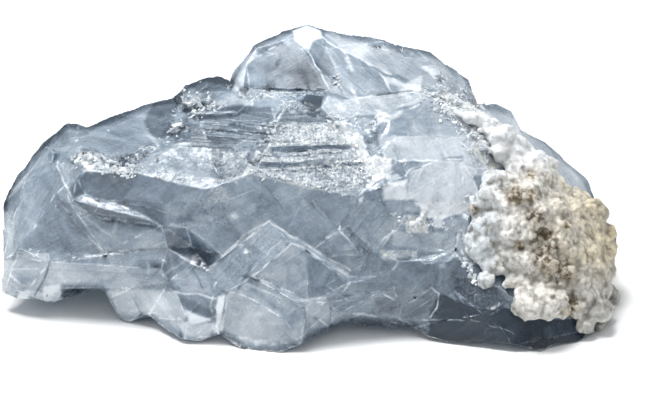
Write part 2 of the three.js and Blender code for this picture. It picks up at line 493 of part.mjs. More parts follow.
const small = specks.map(([where, size]) => grain(place(where), size, speckRoll));

const mass = largest(restFlat(undercut(join([display, heart, ...behind, ...small]))));

// The crust of white sugary grains: a low cushion over the right end, with grains grown all over it.
const cushion = join([
  crystal(
    facet(19.8, 0, 0, [[26, 12.5], [32, 12], [38, 8], [39, 2], [36, -3], [29, -2], [24, 1], [23.5, 7]]),
    facet(12, 0, 0, [
      [22, 13], [27, 18], [34, 17], [41, 10], [43.6, 4], [43, -4], [38, -6], [29, -3], [22.5, 0],
    ]),
    facet(0, 0, 0, [[30, 14], [41, 12], [43, 4], [42, -2]]),
  ),
  crystal(
    facet(13, 0.1, 0, [[21, 26.5], [25, 23], [30, 19.5], [35, 17.5], [34, 13], [27, 15], [22.5, 20]]),
    facet(4, 0, 0, [[20, 26], [32, 20], [37, 16], [30, 12]]),
  ),
  crystal(
    facet(7, 0, 0, [[42.2, 12], [44, 9.6], [45, 7], [45.2, 4.6], [44.8, 0], [44, -4.5]]),
    facet(14, 0, 0, [[38, 9], [43, 5], [43.4, -1], [42.6, -5]]),
    facet(18.5, 0, 0, [[38, 4], [40.5, 1], [42.6, -5], [41.8, -7.6], [39, -7]]),
    facet(-9, 0, 0, [[40, 9], [41.5, 5], [41, 0]]),
  ),
  crystal(
    facet(22.5, 0, 0, [[31.5, -2.4], [34.6, -1.6], [36.5, -3], [35.4, -4.6], [32.4, -4.8]]),
    facet(16, 0, 0, [[29, 0], [38, 0], [37, -5], [31, -5]]),
  ),
]);

// One grain: a small block with a few corners broken off, turned at random.
function grain(at, size, roll) {
  const corners = [];
  for (const x of [-1, 1])
    for (const y of [-1, 1])
      for (const z of [-1, 1]) {
        if (roll() > 0.35) corners.push([x, y, z]);
        else corners.push([x * 0.3, y, z], [x, y * 0.3, z], [x, y, z * 0.3]);
      }
  const half = [0.42 + 0.16 * roll(), 0.42 + 0.2 * roll(), 0.36 + 0.16 * roll()].map((v) => v * size);
  const turn = new THREE.Euler(6.3 * roll(), 6.3 * roll(), 6.3 * roll());
  const points = corners.map(([x, y, z]) =>
    new THREE.Vector3(x * half[0], y * half[1], z * half[2]).applyEuler(turn).add(at),
  );
  return solid(new ConvexGeometry(points));
}

// Grains over the surface that the bed turns to its exposed side, kept apart by about their own size.
function grainsOn(bed, exposed, seed) {
  const roll = dice(seed);
  const side = new THREE.Vector3(...exposed);
  const [smallest, biggest] = GRAIN_SIZES;
  const { vertProperties: v, triVerts: t } = bed.getMesh();
  const corner = (i) => new THREE.Vector3(v[3 * i], v[3 * i + 1], v[3 * i + 2]);
  const faces = [];
  let total = 0;
  for (let i = 0; i < t.length; i += 3) {
    const face = new THREE.Triangle(corner(t[i]), corner(t[i + 1]), corner(t[i + 2]));
    if (face.getNormal(new THREE.Vector3()).dot(side) < 0) continue;
    total += face.getArea();
    faces.push({ face, upTo: total });
  }
  const set = [];
  for (let tries = 0; set.length < GRAINS && tries < 40 * GRAINS; tries += 1) {
    const pick = roll() * total;
    const { face } = faces.find(({ upTo }) => upTo >= pick);
    const [p, q] = [roll(), roll()].sort((x, y) => x - y);
    const at = new THREE.Vector3();
    at.addScaledVector(face.a, p).addScaledVector(face.b, q - p).addScaledVector(face.c, 1 - q);
    const size = smallest + (biggest - smallest) * roll() ** 2;
    if (set.every((other) => other.at.distanceTo(at) > 0.42 * (size + other.size))) set.push({ at, size });
  }
  return set.map(({ at, size }) => grain(at, size, roll));
}

// What is left of the crust outside the crystals, with a seam all round them.
function clearOf(made, blocker) {
  const step = SEAM * Math.sqrt(3);
  const steps = [[step, 0, 0], [-step, 0, 0], [0, step, 0], [0, -step, 0], [0, 0, step], [0, 0, -step]];
  return largest(steps.reduce((rest, way) => rest.subtract(blocker.translate(way)), made));
}

const crust = clearOf(restFlat(join([cushion, ...grainsOn(cushion, [0.5, -0.5, 0.5], 7)])), mass);

// The origin is moved to the middle of the footprint.
const ends = mass.add(crust).boundingBox();
const shift = [-(ends.min[0] + ends.max[0]) / 2, -(ends.min[1] + ends.max[1]) / 2, -ends.min[2]];

function mesh(name, made, material) {
  const { vertProperties, triVerts } = made.translate(shift).getMesh();
  const geometry = new THREE.BufferGeometry()
    .setAttribute("position", new THREE.BufferAttribute(vertProperties, 3))
    .setIndex(new THREE.BufferAttribute(triVerts, 1));
  const built = new THREE.Mesh(geometry, material);
  built.name = name;
  return built;
}

const cluster = new THREE.Group();
cluster.add(
  mesh("celestite_crystals", mass, new THREE.MeshStandardMaterial({ color: 0x9fb4c8, roughness: 0.25 })),
  mesh("granular_crust", crust, new THREE.MeshStandardMaterial({ color: 0xe6e2d8, roughness: 0.7 })),
);

export default cluster;
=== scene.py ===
"""A hand specimen of celestite, dressed around its solids: pale blue cleaved crystals that are grown
together, with a white sugary crust over one end."""
import math
import random

import bmesh
import bpy
import numpy as np
from bpy.props import FloatProperty, FloatVectorProperty, IntProperty, PointerProperty
from mathutils import Matrix, Vector, noise
from mathutils.bvhtree import BVHTree


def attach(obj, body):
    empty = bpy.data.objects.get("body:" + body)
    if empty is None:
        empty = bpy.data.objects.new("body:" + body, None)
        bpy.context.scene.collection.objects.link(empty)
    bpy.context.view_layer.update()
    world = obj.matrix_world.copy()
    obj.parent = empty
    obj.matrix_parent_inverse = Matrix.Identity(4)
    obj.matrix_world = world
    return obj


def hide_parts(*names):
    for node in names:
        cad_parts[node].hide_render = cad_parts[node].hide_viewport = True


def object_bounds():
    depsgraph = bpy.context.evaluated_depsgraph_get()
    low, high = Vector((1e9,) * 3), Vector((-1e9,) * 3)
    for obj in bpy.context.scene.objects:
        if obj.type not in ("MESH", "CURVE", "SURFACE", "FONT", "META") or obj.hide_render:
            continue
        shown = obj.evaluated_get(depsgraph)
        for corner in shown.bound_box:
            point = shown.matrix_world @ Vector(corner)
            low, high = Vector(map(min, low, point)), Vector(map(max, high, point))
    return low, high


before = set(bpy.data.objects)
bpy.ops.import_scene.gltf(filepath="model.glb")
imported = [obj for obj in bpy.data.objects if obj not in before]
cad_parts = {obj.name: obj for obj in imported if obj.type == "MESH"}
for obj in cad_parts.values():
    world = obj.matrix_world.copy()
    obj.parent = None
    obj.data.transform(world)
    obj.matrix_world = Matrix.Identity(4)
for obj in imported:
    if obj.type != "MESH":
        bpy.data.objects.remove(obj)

bl_info = {
    "name": "Celestite Crystal Cluster",
    "version": (1, 0, 0),
    "blender": (4, 5, 0),
    "location": "3D View > Sidebar > Celestite",
    "description": "Builds the crystals, the crust and the studio of a celestite hand specimen",
    "category": "Add Mesh",
}

CAD_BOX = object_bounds()
CRYSTALS_NODE = "celestite_crystals"
CRUST_NODE = "granular_crust"
BODY = "root"
MM = 0.001
BOX_MM = [np.array(corner) / MM for corner in CAD_BOX]

# Without a seed, noise_vector gives other vectors in each session
FACET_SEED = 1

# How much the mineral bends light
CRYSTAL_IOR = 1.62

# An edge of the crystals' solid is a sharp one over this angle
EDGE_ANGLE = math.radians(17)

# The display face leans back from the vertical. A place on it is (across, up, out) in millimetres: across to
# the right, up along the face, and out of it towards the viewer. DISPLAY_ZERO is its zero in the frame.
DISPLAY_LEAN = math.radians(25)
DISPLAY_ZERO = np.array((-0.07, -0.61, 0.0))
ACROSS = np.array((1.0, 0.0, 0.0))
UP = np.array((0.0, math.sin(DISPLAY_LEAN), math.cos(DISPLAY_LEAN)))
OUT = np.array((0.0, -math.cos(DISPLAY_LEAN), math.sin(DISPLAY_LEAN)))

# The photograph's frame: its width in pixels, the length that a pixel covers and the place at its middle
PICTURE_WIDTH = 647
PIXEL_MM = 0.15
PICTURE_MIDDLE = (1.88, 11.78, 10.0)

# The facets of the display side that differ from the plain blue-grey crystal, broad ones first: what each
# one is, its tone (-1 and under is deep blue, 0 blue-grey, 1 and over milk white), its frosting from glassy
# (0) to sugary (1), and its outline as (across, up) in mm. Where two overlap, the later one shows. The tones
# hold painted light and shade besides the crystal's own colour: the slit, the hollow, the risers and the
# faces under the crust are painted darker as shade, and the hot spot and the hot facet are painted
# highlights.
FACETS = (
    ("upper zone of the left end", 0.0, 0.0,
     ((-46.5, 5), (-44.7, 15.8), (-42, 19.3), (-38.5, 22.5), (-37, 24), (-34, 23.4), (-34, 20.3),
      (-36, 17), (-38.3, 14), (-40.4, 10.3), (-44, 4.5))),
    ("inner face of the left end", -0.2, 0.0,
     ((-43.9, 5), (-40.4, 10.3), (-37.4, 11.8), (-35.9, 10), (-31.1, 4.3))),
    ("strip beside the inner face", 0.15, 0.0, ((-35.9, 10), (-34.1, 10.3), (-29.6, 4.3), (-31.1, 4.3))),
    ("light wedge of the left end", 0.3, 0.0,
     ((-45, 2), (-44.2, 4.3), (-39.6, 4.3), (-39.2, 3), (-41.2, -1.8), (-44, -0.8))),
    ("white streaks at the left end", 0.1, 0.2,
     ((-46.5, 3), (-46.5, 10.3), (-44.4, 10.3), (-43.9, 5.3), (-44.6, 3))),
    ("pale streak beside them", 0.15, 0.0, ((-43.2, 14.6), (-41.9, 15), (-41.6, 11.8), (-42.9, 11.6))),
    ("underside of the foot", 1.1, 0.1,
     ((-44, -1.2), (-40.5, -1.6), (-38.4, -1.7), (-38.4, -3), (-43.9, -3))),
    ("tip of the foot", 0.5, 0.2, ((-46.6, 3.4), (-45, 3.2), (-44.1, 1), (-43.6, -1.9), (-46.6, -2.5))),
    ("sill", 0.3, 0.0,
     ((-39.1, 3), (-36.1, 3), (-30.1, 2.6), (-22.1, 1.7), (-21.3, 0), (-27, -1), (-31.5, -1.4),
      (-36.5, -1.2), (-40.5, -1.8))),
    ("lump on the foot", 1.4, 0.1,
     ((-39.9, -0.7), (-37.6, -0.4), (-37.2, -2.6), (-38.6, -3.2), (-39.9, -2.8))),
    ("face under the ledge", 0.05, 0.0,
     ((-35.6, 12.3), (-22.2, 8.3), (-21.5, 5.2), (-22.3, 1.9), (-30, 2.7), (-34.1, 10.3))),
    ("front above the slit", -0.35, 0.0,
     ((-36, 14.3), (-34, 16.6), (-25.2, 16.3), (-17, 14), (-21.7, 8.3), (-24.4, 9.8), (-29.2, 12),
      (-32.7, 12.9), (-35.7, 12.7))),
    # Painted shadow: the slit under the ledge is painted dark
    ("slit", -0.7, 0.0,
     ((-35.6, 12.3), (-29.2, 10.4), (-24.6, 9.1), (-22, 8.3), (-22.4, 7.6), (-27.1, 8.9), (-30.7, 8.9),
      (-33.2, 10.3))),
    ("ledge over the slit", 0.2, 0.2,
     ((-35.6, 12.6), (-32.7, 12.9), (-29.2, 12.1), (-24.9, 10), (-22.3, 8.5), (-24.9, 9.2), (-29.1, 10.3),
      (-32.6, 11.5))),
    # Painted shade in the hollow
    ("hollow", -0.5, 0.0,
     ((-21.9, 7.5), (-18.4, 8), (-15.9, 5.8), (-14.2, 4), (-14.5, 2.6), (-15.7, 1.9), (-16.9, 2.7),
      (-21.4, 5.3))),
    ("grey facet under the hollow", -0.2, 0.0, ((-22, 4.8), (-17, 2.4), (-17.5, 0.5), (-22, 0.5))),
    ("rounded facet over the toe", 0.15, 0.0,
     ((-20.9, 0.6), (-19.6, 1.8), (-17.4, 2.2), (-15.9, 1.4), (-14.4, -1.7), (-19.9, -1.5))),
    ("lobe under the sill", 0.8, 0.0,
     ((-30.8, -1.2), (-26.7, -1.2), (-25.5, -4.8), (-27.3, -6.2), (-29, -5.5), (-30.8, -3))),
    ("toe", 0.5, 0.0, ((-26.9, -1), (-20, -1.2), (-18.5, -5), (-20, -8.5), (-24, -5.5), (-25.5, -4.5))),
    ("foot of the toe", 0.8, 0.0, ((-19.7, -6), (-14.2, -6), (-15, -8.3), (-17, -8.9), (-19, -8.6))),
    ("sliver of shade on the toe", -0.5, 0.0,
     ((-19.9, -1.8), (-17.9, -2.5), (-14.5, -4.2), (-14.8, -5.3), (-18.2, -4.1), (-19.4, -3.2))),
    ("pale triangle of the toe", 1.5, 0.0, ((-18.8, -4.1), (-14.7, -5.7), (-17.9, -6.2))),
    ("bright edge of the toe", 1.4, 0.1,
     ((-14, -2), (-12.9, -2), (-12.9, -6.7), (-13.6, -7.7), (-14.6, -7.7), (-14.2, -5))),
    ("glassy rolls", -0.15, 0.0,
     ((-36, 22), (-34.5, 20.3), (-32, 19.6), (-25.5, 20), (-25, 23.6), (-33, 23.2))),
    ("dim slope behind the rolls", 0.0, 0.1,
     ((-33, 22.9), (-25.3, 22.9), (-23.5, 24.5), (-21, 27.8), (-25, 26.8))),
    ("bed of the sparkling row", -0.15, 0.7,
     ((-36, 15.6), (-33.8, 16.9), (-26, 16.2), (-26, 17.8), (-23.4, 19.2), (-30, 19), (-34, 19.9),
      (-36, 19))),
    ("white lump in the row", 2.0, 0.3,
     ((-35, 19), (-33.8, 19.4), (-32.2, 18.8), (-31.2, 18), (-31.4, 17.4), (-33, 16.9), (-34, 17.5))),
    ("tail of the row", 0.5, 0.6, ((-31, 17.6), (-26.4, 17.3), (-26, 16.4), (-31, 16.4))),
    ("deep blue patch", -0.65, 0.0,
     ((-25.2, 24.4), (-23.8, 27.1), (-20.2, 27), (-20.4, 24.4), (-20.6, 22), (-24, 21.8))),
    ("white curl", 0.5, 0.1, ((-25.2, 22.7), (-24, 22.2), (-22.3, 20.6), (-22.8, 20), (-24.2, 21.6))),
    # Painted highlight
    ("hot spot beside the blue patch", 2.6, 0.2, ((-21, 24), (-19.5, 24.2), (-19.2, 22.6), (-20.6, 22.4))),
    ("pale lens facet", 0.25, 0.3,
     ((-26, 17.8), (-23.4, 19.2), (-20.2, 20.5), (-18, 20.9), (-15.3, 19.9), (-14.4, 14.8), (-15.9, 13.9),
      (-20, 14.8), (-25.2, 16.3))),
    ("mottled side of the lens", -0.15, 0.6,
     ((-15.3, 19.9), (-11.5, 20.5), (-7.9, 19.3), (-9.2, 17), (-10.2, 15.8), (-12.6, 15), (-14.4, 14.8))),
    ("rough zone under the lens", 0.2, 0.5, ((-15.9, 13.9), (-12.2, 14.8), (-12.2, 11.3), (-15.9, 11.3))),
    ("rough front", 0.0, 0.3,
     ((-21.7, 11.5), (-17, 13.9), (-15.9, 11.3), (-12.2, 11.5), (-12.2, 8), (-18.4, 8), (-21.7, 8.3))),
    ("dark patch of the rough front", -0.5, 0.2, ((-20, 10), (-17.9, 10.2), (-17.7, 9), (-20, 9))),
    ("smooth facet of the front", -0.3, 0.0,
     ((-14.2, 8.8), (-10.6, 8.8), (-10.4, 6.6), (-12.8, 4.6), (-14.2, 5.2))),
    ("big face of the front", 0.0, 0.0,
     ((-12.2, 15), (-9, 16.2), (-2.5, 15.2), (5.8, 13.2), (5.6, 10), (1.9, 5.8), (0.4, 5.1), (-6.2, 9.3),
      (-10.2, 6.8), (-12, 9))),
    ("lighter side of the front", 0.05, 0.0,
     ((-7.4, 15.4), (-2.5, 15.1), (1.2, 14.2), (2.1, 9.8), (-1, 7.6), (-4.2, 11.1))),
    ("combed slope", -0.3, 0.2,
     ((-20.1, 20.5), (-7.9, 20.2), (-6.1, 21), (-5.2, 23.9), (-5.6, 26), (-15.3, 26.6), (-18.6, 25.6),
      (-20.3, 22))),
    ("dark foot of the combed slope", -0.15, 0.2,
     ((-19.9, 22), (-13, 22.3), (-7.9, 21.9), (-6.3, 20.4), (-15, 20.3), (-19.9, 20.4))),
    ("speckled row", -0.1, 0.8, ((-18.1, 23.4), (-12.4, 23), (-12.6, 22.2), (-18.1, 22.4))),
    ("white band", 0.1, 0.2, ((-18.4, 24.6), (-15.4, 24.5), (-13.6, 24), (-18.4, 23.9))),
    ("dark row over it", -0.85, 0.1, ((-18.1, 25.4), (-10.6, 25.3), (-12.1, 24.6), (-18.1, 24.7))),
    ("dark band at the head of the comb", -0.75, 0.1,
     ((-15.7, 26.5), (-6.1, 26.4), (-5.9, 25.7), (-12, 25.8))),
    ("rough knob", 0.0, 0.7,
     ((-20.3, 28), (-17, 28.7), (-15.5, 27.3), (-15.3, 26.5), (-17.8, 25.7), (-20, 25.8))),
    ("dark rounded bump", -0.5, 0.1,
     ((-19, 30), (-16, 31), (-13.5, 31), (-12.1, 30), (-12.1, 28.8), (-16.9, 28.8))),
    ("small pale facet", 0.4, 0.2, ((-15.4, 26.9), (-12.1, 28.2), (-9.1, 27.2), (-9, 26.7), (-15.3, 26.6))),
    ("frosted band under the top", 0.1, 0.7,
     ((-12, 28.4), (-9.3, 29.4), (2, 29), (2.3, 27.9), (-3.7, 27.9), (-9.1, 27.2))),
    ("frosted strip under the top", 0.15, 0.8,
     ((-5.6, 26), (-3.7, 27.9), (-1.9, 27.5), (-0.1, 26.1), (-4, 25.8))),
    ("sugared slope", 0.5, 0.8,
     ((-5.8, 23.8), (-6.1, 20.3), (-7.9, 18.6), (-9.1, 16.3), (-6.7, 15.7), (-3.4, 15), (-0.2, 14),
      (4.1, 13.3), (5.8, 13.9), (7.7, 13.8), (8.3, 15.6), (8, 17.7), (5.9, 20.1), (3.8, 23.9))),
    ("foot of the sugared slope", 0.15, 0.7,
     ((-9.2, 16.2), (-6.7, 15.7), (-3.4, 15), (-0.2, 14), (4.1, 13.3), (5.8, 13.9), (6.5, 16.8),
      (1.4, 16.9), (-1.9, 16.5))),
    # Painted shade on the steep risers of the sugared slope
    ("middle riser", -0.4, 0.2, ((-7.9, 18), (-4, 18), (5.8, 18.5), (-0.1, 18), (-4, 17.1), (-7.9, 17.1))),
    ("upper riser", -0.3, 0.2, ((-6, 20.4), (5.9, 20.6), (5.9, 19.9), (-0.1, 19.7), (-5.9, 18.9))),
    ("steep band", -0.1, 0.1, ((-5.5, 24.2), (-4, 25.8), (-0.1, 26.1), (2, 24.7), (2.9, 24))),
    ("deep triangle", -0.85, 0.0, ((-1.9, 27.3), (-0.4, 27.9), (1.9, 27.9), (1.4, 25.4), (-0.1, 26.1))),
    ("clear top crystal", -0.3, 0.0,
     ((-10.3, 29.2), (-9.8, 33), (-8.3, 35.3), (-2.5, 36.6), (-0.4, 33.8), (1.1, 31.4), (2.3, 28.7),
      (-5, 29))),
    ("bright left edge of the top", 0.7, 0.1,
     ((-11.9, 29), (-10.3, 29), (-9.8, 32.6), (-8, 34.1), (-8.6, 35), (-10.5, 33.6), (-11.8, 31.8))),
    ("right side of the top", -0.05, 0.0,
     ((2, 37), (5.6, 34.4), (8, 33.2), (12.2, 31.4), (10.3, 28.2), (5, 28.1), (4.1, 29.6), (2, 31.4),
      (0.2, 34.8), (1.5, 36.8))),
    ("light strip of the top", -0.1, 0.0,
     ((-2.5, 36.5), (-0.1, 34.8), (2, 31.4), (4.1, 29.6), (5, 28.1), (2.3, 28.5), (1.1, 31.4),
      (-0.4, 33.8))),
    ("white patch of the top", 0.6, 0.1,
     ((2, 37.4), (2.3, 38.2), (6.2, 37.7), (10.1, 36.9), (9, 34), (8, 33.2), (5.6, 34.4))),
    # Painted highlight on the top crystal
    ("hot facet of the top", 1.5, 0.0,
     ((-2.7, 38), (-0.7, 39), (1.4, 38), (1.5, 36.8), (0.2, 36.5), (-0.3, 34.9), (-2.5, 36.6))),
    ("milky shoulder", 0.5, 0.0,
     ((10.1, 36.9), (13.5, 36), (16, 35.3), (14.1, 30.8), (12.2, 31.4), (8, 33.2))),
    ("right shoulder", 0.4, 0.0,
     ((16, 35.3), (18, 35.1), (21, 32.7), (24.2, 30.9), (25.3, 27.5), (22.3, 28), (17, 29.5),
      (14.1, 30.8))),
    ("white triangle", 0.9, 0.1, ((10.4, 31.5), (14.1, 29.9), (16.7, 31.2), (16.7, 28.9), (12.1, 28.5))),
    ("blue heart of the triangle", 0.2, 0.0, ((11.8, 29.8), (13.8, 29.4), (13.2, 28.7), (12, 28.6))),
    ("shelf", 0.5, 0.2,
     ((1.6, 26.2), (2.6, 27.9), (5, 27.4), (10.1, 27.9), (14.3, 28.4), (17.9, 28.5), (16.5, 27.1),
      (9.8, 25), (4.3, 24.4), (2.5, 24.9))),
    ("white wedge of the shelf", 1.1, 0.2, ((9.6, 25.8), (13.8, 25.6), (12.6, 24.2), (10, 24))),
    ("blue lens on the shelf", 0.35, 0.0, ((10.6, 25.6), (12, 25.9), (13.1, 25.5), (12, 25.1))),
    ("white facets beside the sugared slope", 0.85, 0.3,
     ((3.8, 24.2), (6, 23.8), (7.6, 22), (8.3, 19.8), (8.5, 18.6), (11.9, 18.6), (11.9, 15.6),
      (8.4, 14.8), (8, 17.7), (5.9, 20.1))),
    ("blue-grey facet over them", 0.35, 0.1,
     ((6, 24.7), (9.8, 24.7), (9.8, 22.4), (7.8, 21.9), (6.2, 23.4))),
    ("grey leaf", 0.25, 0.3, ((8.5, 19.8), (10.1, 22.3), (12.1, 21.8), (11.3, 18.5))),
    ("upper part of the big facet", 0.25, 0.0,
     ((16.1, 26.6), (17.8, 28), (19.3, 28), (19.8, 26.8), (21.8, 25.5), (23.8, 23.8), (24.1, 22.3),
      (15, 21.9), (12.6, 22.8), (11.1, 23.9), (13.8, 25.3))),
    ("left band of the big facet", 0.15, 0.0,
     ((16.1, 26.6), (13.8, 25.3), (11.1, 23.9), (10, 22.5), (11.4, 22.2), (15, 23.8), (17, 26))),
    ("lower part of the big facet", 0.6, 0.0,
     ((10.6, 22.2), (15, 21.9), (24.1, 22.3), (25, 21), (24, 19.4), (22.5, 19), (18.8, 18.3),
      (11.1, 18.5), (10.3, 20.8))),
    ("pale face beside the crust", 0.8, 0.0,
     ((13.8, 14.5), (14.8, 16.4), (18.8, 18.3), (22.7, 18), (24.3, 15.3), (26, 11), (23.2, 10.9),
      (20.3, 9.9), (17, 9.8), (16.3, 11.4), (14.4, 12.3))),
    ("rounded facet beside it", 0.65, 0.0, ((22.8, 19.3), (26.8, 18.8), (26.6, 16), (23.2, 16))),
    ("milky ridge behind the crust", 0.5, 0.1,
     ((25.3, 27), (28, 27.4), (30.5, 26.2), (35.5, 21.5), (42, 16), (43.5, 10), (37, 13), (30, 19),
      (26, 23))),
    ("white ridge of grains", 1.6, 0.8,
     ((18.6, 28), (21, 28.4), (26, 25.8), (31, 22), (31, 18), (27, 16.8), (23.8, 20), (24.6, 22.4),
      (22, 25.6))),
    ("blue leaf in the ridge", 0.9, 0.1, ((24.1, 23.3), (28.1, 21), (27.6, 20.5), (25.6, 21.5))),
    ("triangle of the front", 0.1, 0.0, ((4.2, 7.8), (1.5, 6), (3.5, 4), (7.6, 4.2))),
    ("hatched face", 0.2, 0.1,
     ((5.6, 13), (7.8, 12.8), (10.3, 11.8), (12.2, 8.7), (10.3, 4.6), (8.8, 4.4), (5.6, 8.6), (5.6, 10.2))),
    ("dark band beside the triangle", -0.1, 0.1,
     ((4.2, 7.9), (5.6, 8.6), (9, 5.2), (8.8, 4.3), (7.6, 4.2))),
    ("dark facet under the crest", -0.15, 0.1, ((8.1, 14.3), (10.8, 14.6), (10.8, 12), (8.1, 12.4))),
    ("pale block", 1.15, 0.1, ((10.8, 14.9), (14.3, 15.4), (14.3, 12.3), (10.8, 12.3))),
    ("grey oval", 0.3, 0.0, ((13.8, 12.2), (15.6, 12.4), (16.3, 11.4), (15.6, 10.5), (13.9, 10.6))),
    ("band of the bench", 0.3, 0.0, ((11, 12.2), (13.6, 12.2), (14, 8.6), (11.8, 8.3))),
    ("white fan", 1.05, 0.2, ((16.3, 12), (23.3, 12.2), (23.3, 10.6), (19.6, 9.6), (16.3, 10))),
    ("pale drop", 1.2, 0.0, ((18.1, 10), (19.6, 10), (19.6, 8.2), (18.4, 8))),
    ("small white cluster", 0.85, 0.8, ((13.8, 10), (17.1, 10), (17.2, 7.2), (14.4, 7.2))),
    ("lavender facet", 0.3, 0.0, ((19.6, 9.5), (23.8, 9.6), (23.6, 8), (19.8, 7.4))),
    ("pale side under the fan", 0.4, 0.0, ((21.8, 8.2), (25.8, 8.3), (25.8, 4), (23.8, 2.3), (21.8, 3.9))),
    ("face of the bench", 0.4, 0.1, ((12.1, 7.6), (21.6, 7.4), (21.8, 4.2), (15.8, 4.9), (12.1, 5.5))),
    ("frosted strip of the bench", 0.4, 0.6, ((10.3, 4.9), (15.8, 4.8), (15.8, 3.5), (10.3, 3.7))),
    ("pale step of the bench", 0.0, 0.1, ((16.3, 4.1), (21.8, 4.2), (21.8, 2.9), (16.3, 2.8))),
    ("left arm of the chevron", 0.1, 0.1,
     ((-15.5, 1.8), (-14.2, 2.8), (-11.9, 5), (-10.2, 6.8), (-6.2, 9.3), (-2.9, 5.8), (-6.2, 3),
      (-9.2, 0.8), (-12.2, -1.7), (-14, -0.5))),
    ("right arm of the chevron", 0.1, 0.0,
     ((-4.2, 7.8), (2.1, 4.1), (5.8, 1.8), (5.8, 0.9), (3.3, 2.3), (-0.2, 4.8), (-2.7, 5.9))),
    ("left inside of the chevron", 0.25, 0.0,
     ((-2.7, 5.8), (-6.7, 2.5), (-9.2, 0.5), (-5.7, -1.7), (-2.7, -2.5), (-0.5, -2.7), (-0.7, 3.8))),
    ("right inside of the chevron", -0.1, 0.0,
     ((-0.7, 3.8), (-0.5, -2.7), (2.6, -2.6), (4.5, -1.8), (5.8, 0.9), (3.3, 2.3), (-0.2, 4.8))),
    ("lens at the foot", 0.45, 0.0,
     ((-12.9, -2.2), (-9.5, 0.1), (-5.5, -1.2), (-0.8, -4), (-1, -9), (-4, -10.5), (-8.5, -10.7),
      (-13.2, -8))),
    ("pale arch", 0.35, 0.0, ((-2.9, -2.7), (2.1, -2.2), (2.8, -3.7), (2.8, -6.7), (0, -6.7), (-0.6, -4))),
    ("blue foot", 0.35, 0.0, ((2.8, -4.2), (5.8, -4.7), (5.8, -6.2), (2.8, -6.2))),
    ("face under the benches", -0.1, 0.0,
     ((5.8, 1.8), (11.8, 1.8), (12.1, 0), (12.8, -1.5), (11.1, -1.7), (9, -4.6), (2.8, -3.9), (4.5, -1.8))),
    ("blue ovals", -0.4, 0.0, ((9.6, -2.5), (11.4, -2), (12.8, -3), (12.4, -4.7), (10, -4.7))),
    ("blue band at the foot", -0.25, 0.0, ((7.3, -5.2), (12.8, -5.2), (15.1, -6.4), (14.8, -7.2), (8, -7))),
    ("shaded facet", -0.2, 0.0,
     ((12.1, 2), (13.1, 3), (16.3, 3.4), (16.8, 2.8), (20.3, 3.3), (21.6, 3.9), (22.3, 2.2), (21.3, 1),
      (21.6, -1.2), (21.3, -2.2), (19.2, -1.5), (18.1, -0.7), (15.8, -2.2), (14, -2.8), (12.8, -1.5),
      (11.8, -0.2))),
    ("blue lens", -0.35, 0.0,
     ((13.6, -3.4), (16.3, -2.2), (18, -0.8), (19.2, -1.5), (18.8, -3.7), (17.8, -5.2), (15.2, -6.3),
      (13.1, -5))),
    ("deep triangle at the foot", -0.45, 0.0, ((15.1, -5.9), (17.8, -5.5), (17.8, -8.5), (15.6, -7.6))),
    # Painted shade: the faces under the crust face down and away from the light and are painted darker than
    # their own blue
    ("navy faces under the crust", -1.3, 0.0,
     ((17.8, -4.6), (19.2, -1.6), (21.4, -2.3), (25.8, -2.6), (31, -4.5), (36, -5.5), (43, -5),
      (42.7, -7.2), (40, -9.2), (36, -9.8), (34.5, -11), (30, -9.8), (21, -9.6), (17.4, -8.6))),
    ("grey face under the crust", -0.6, 0.2,
     ((21.4, 0.9), (27.8, -0.8), (29.5, -2.8), (27.8, -4.2), (23, -3.6), (21.5, -2.2))),
)
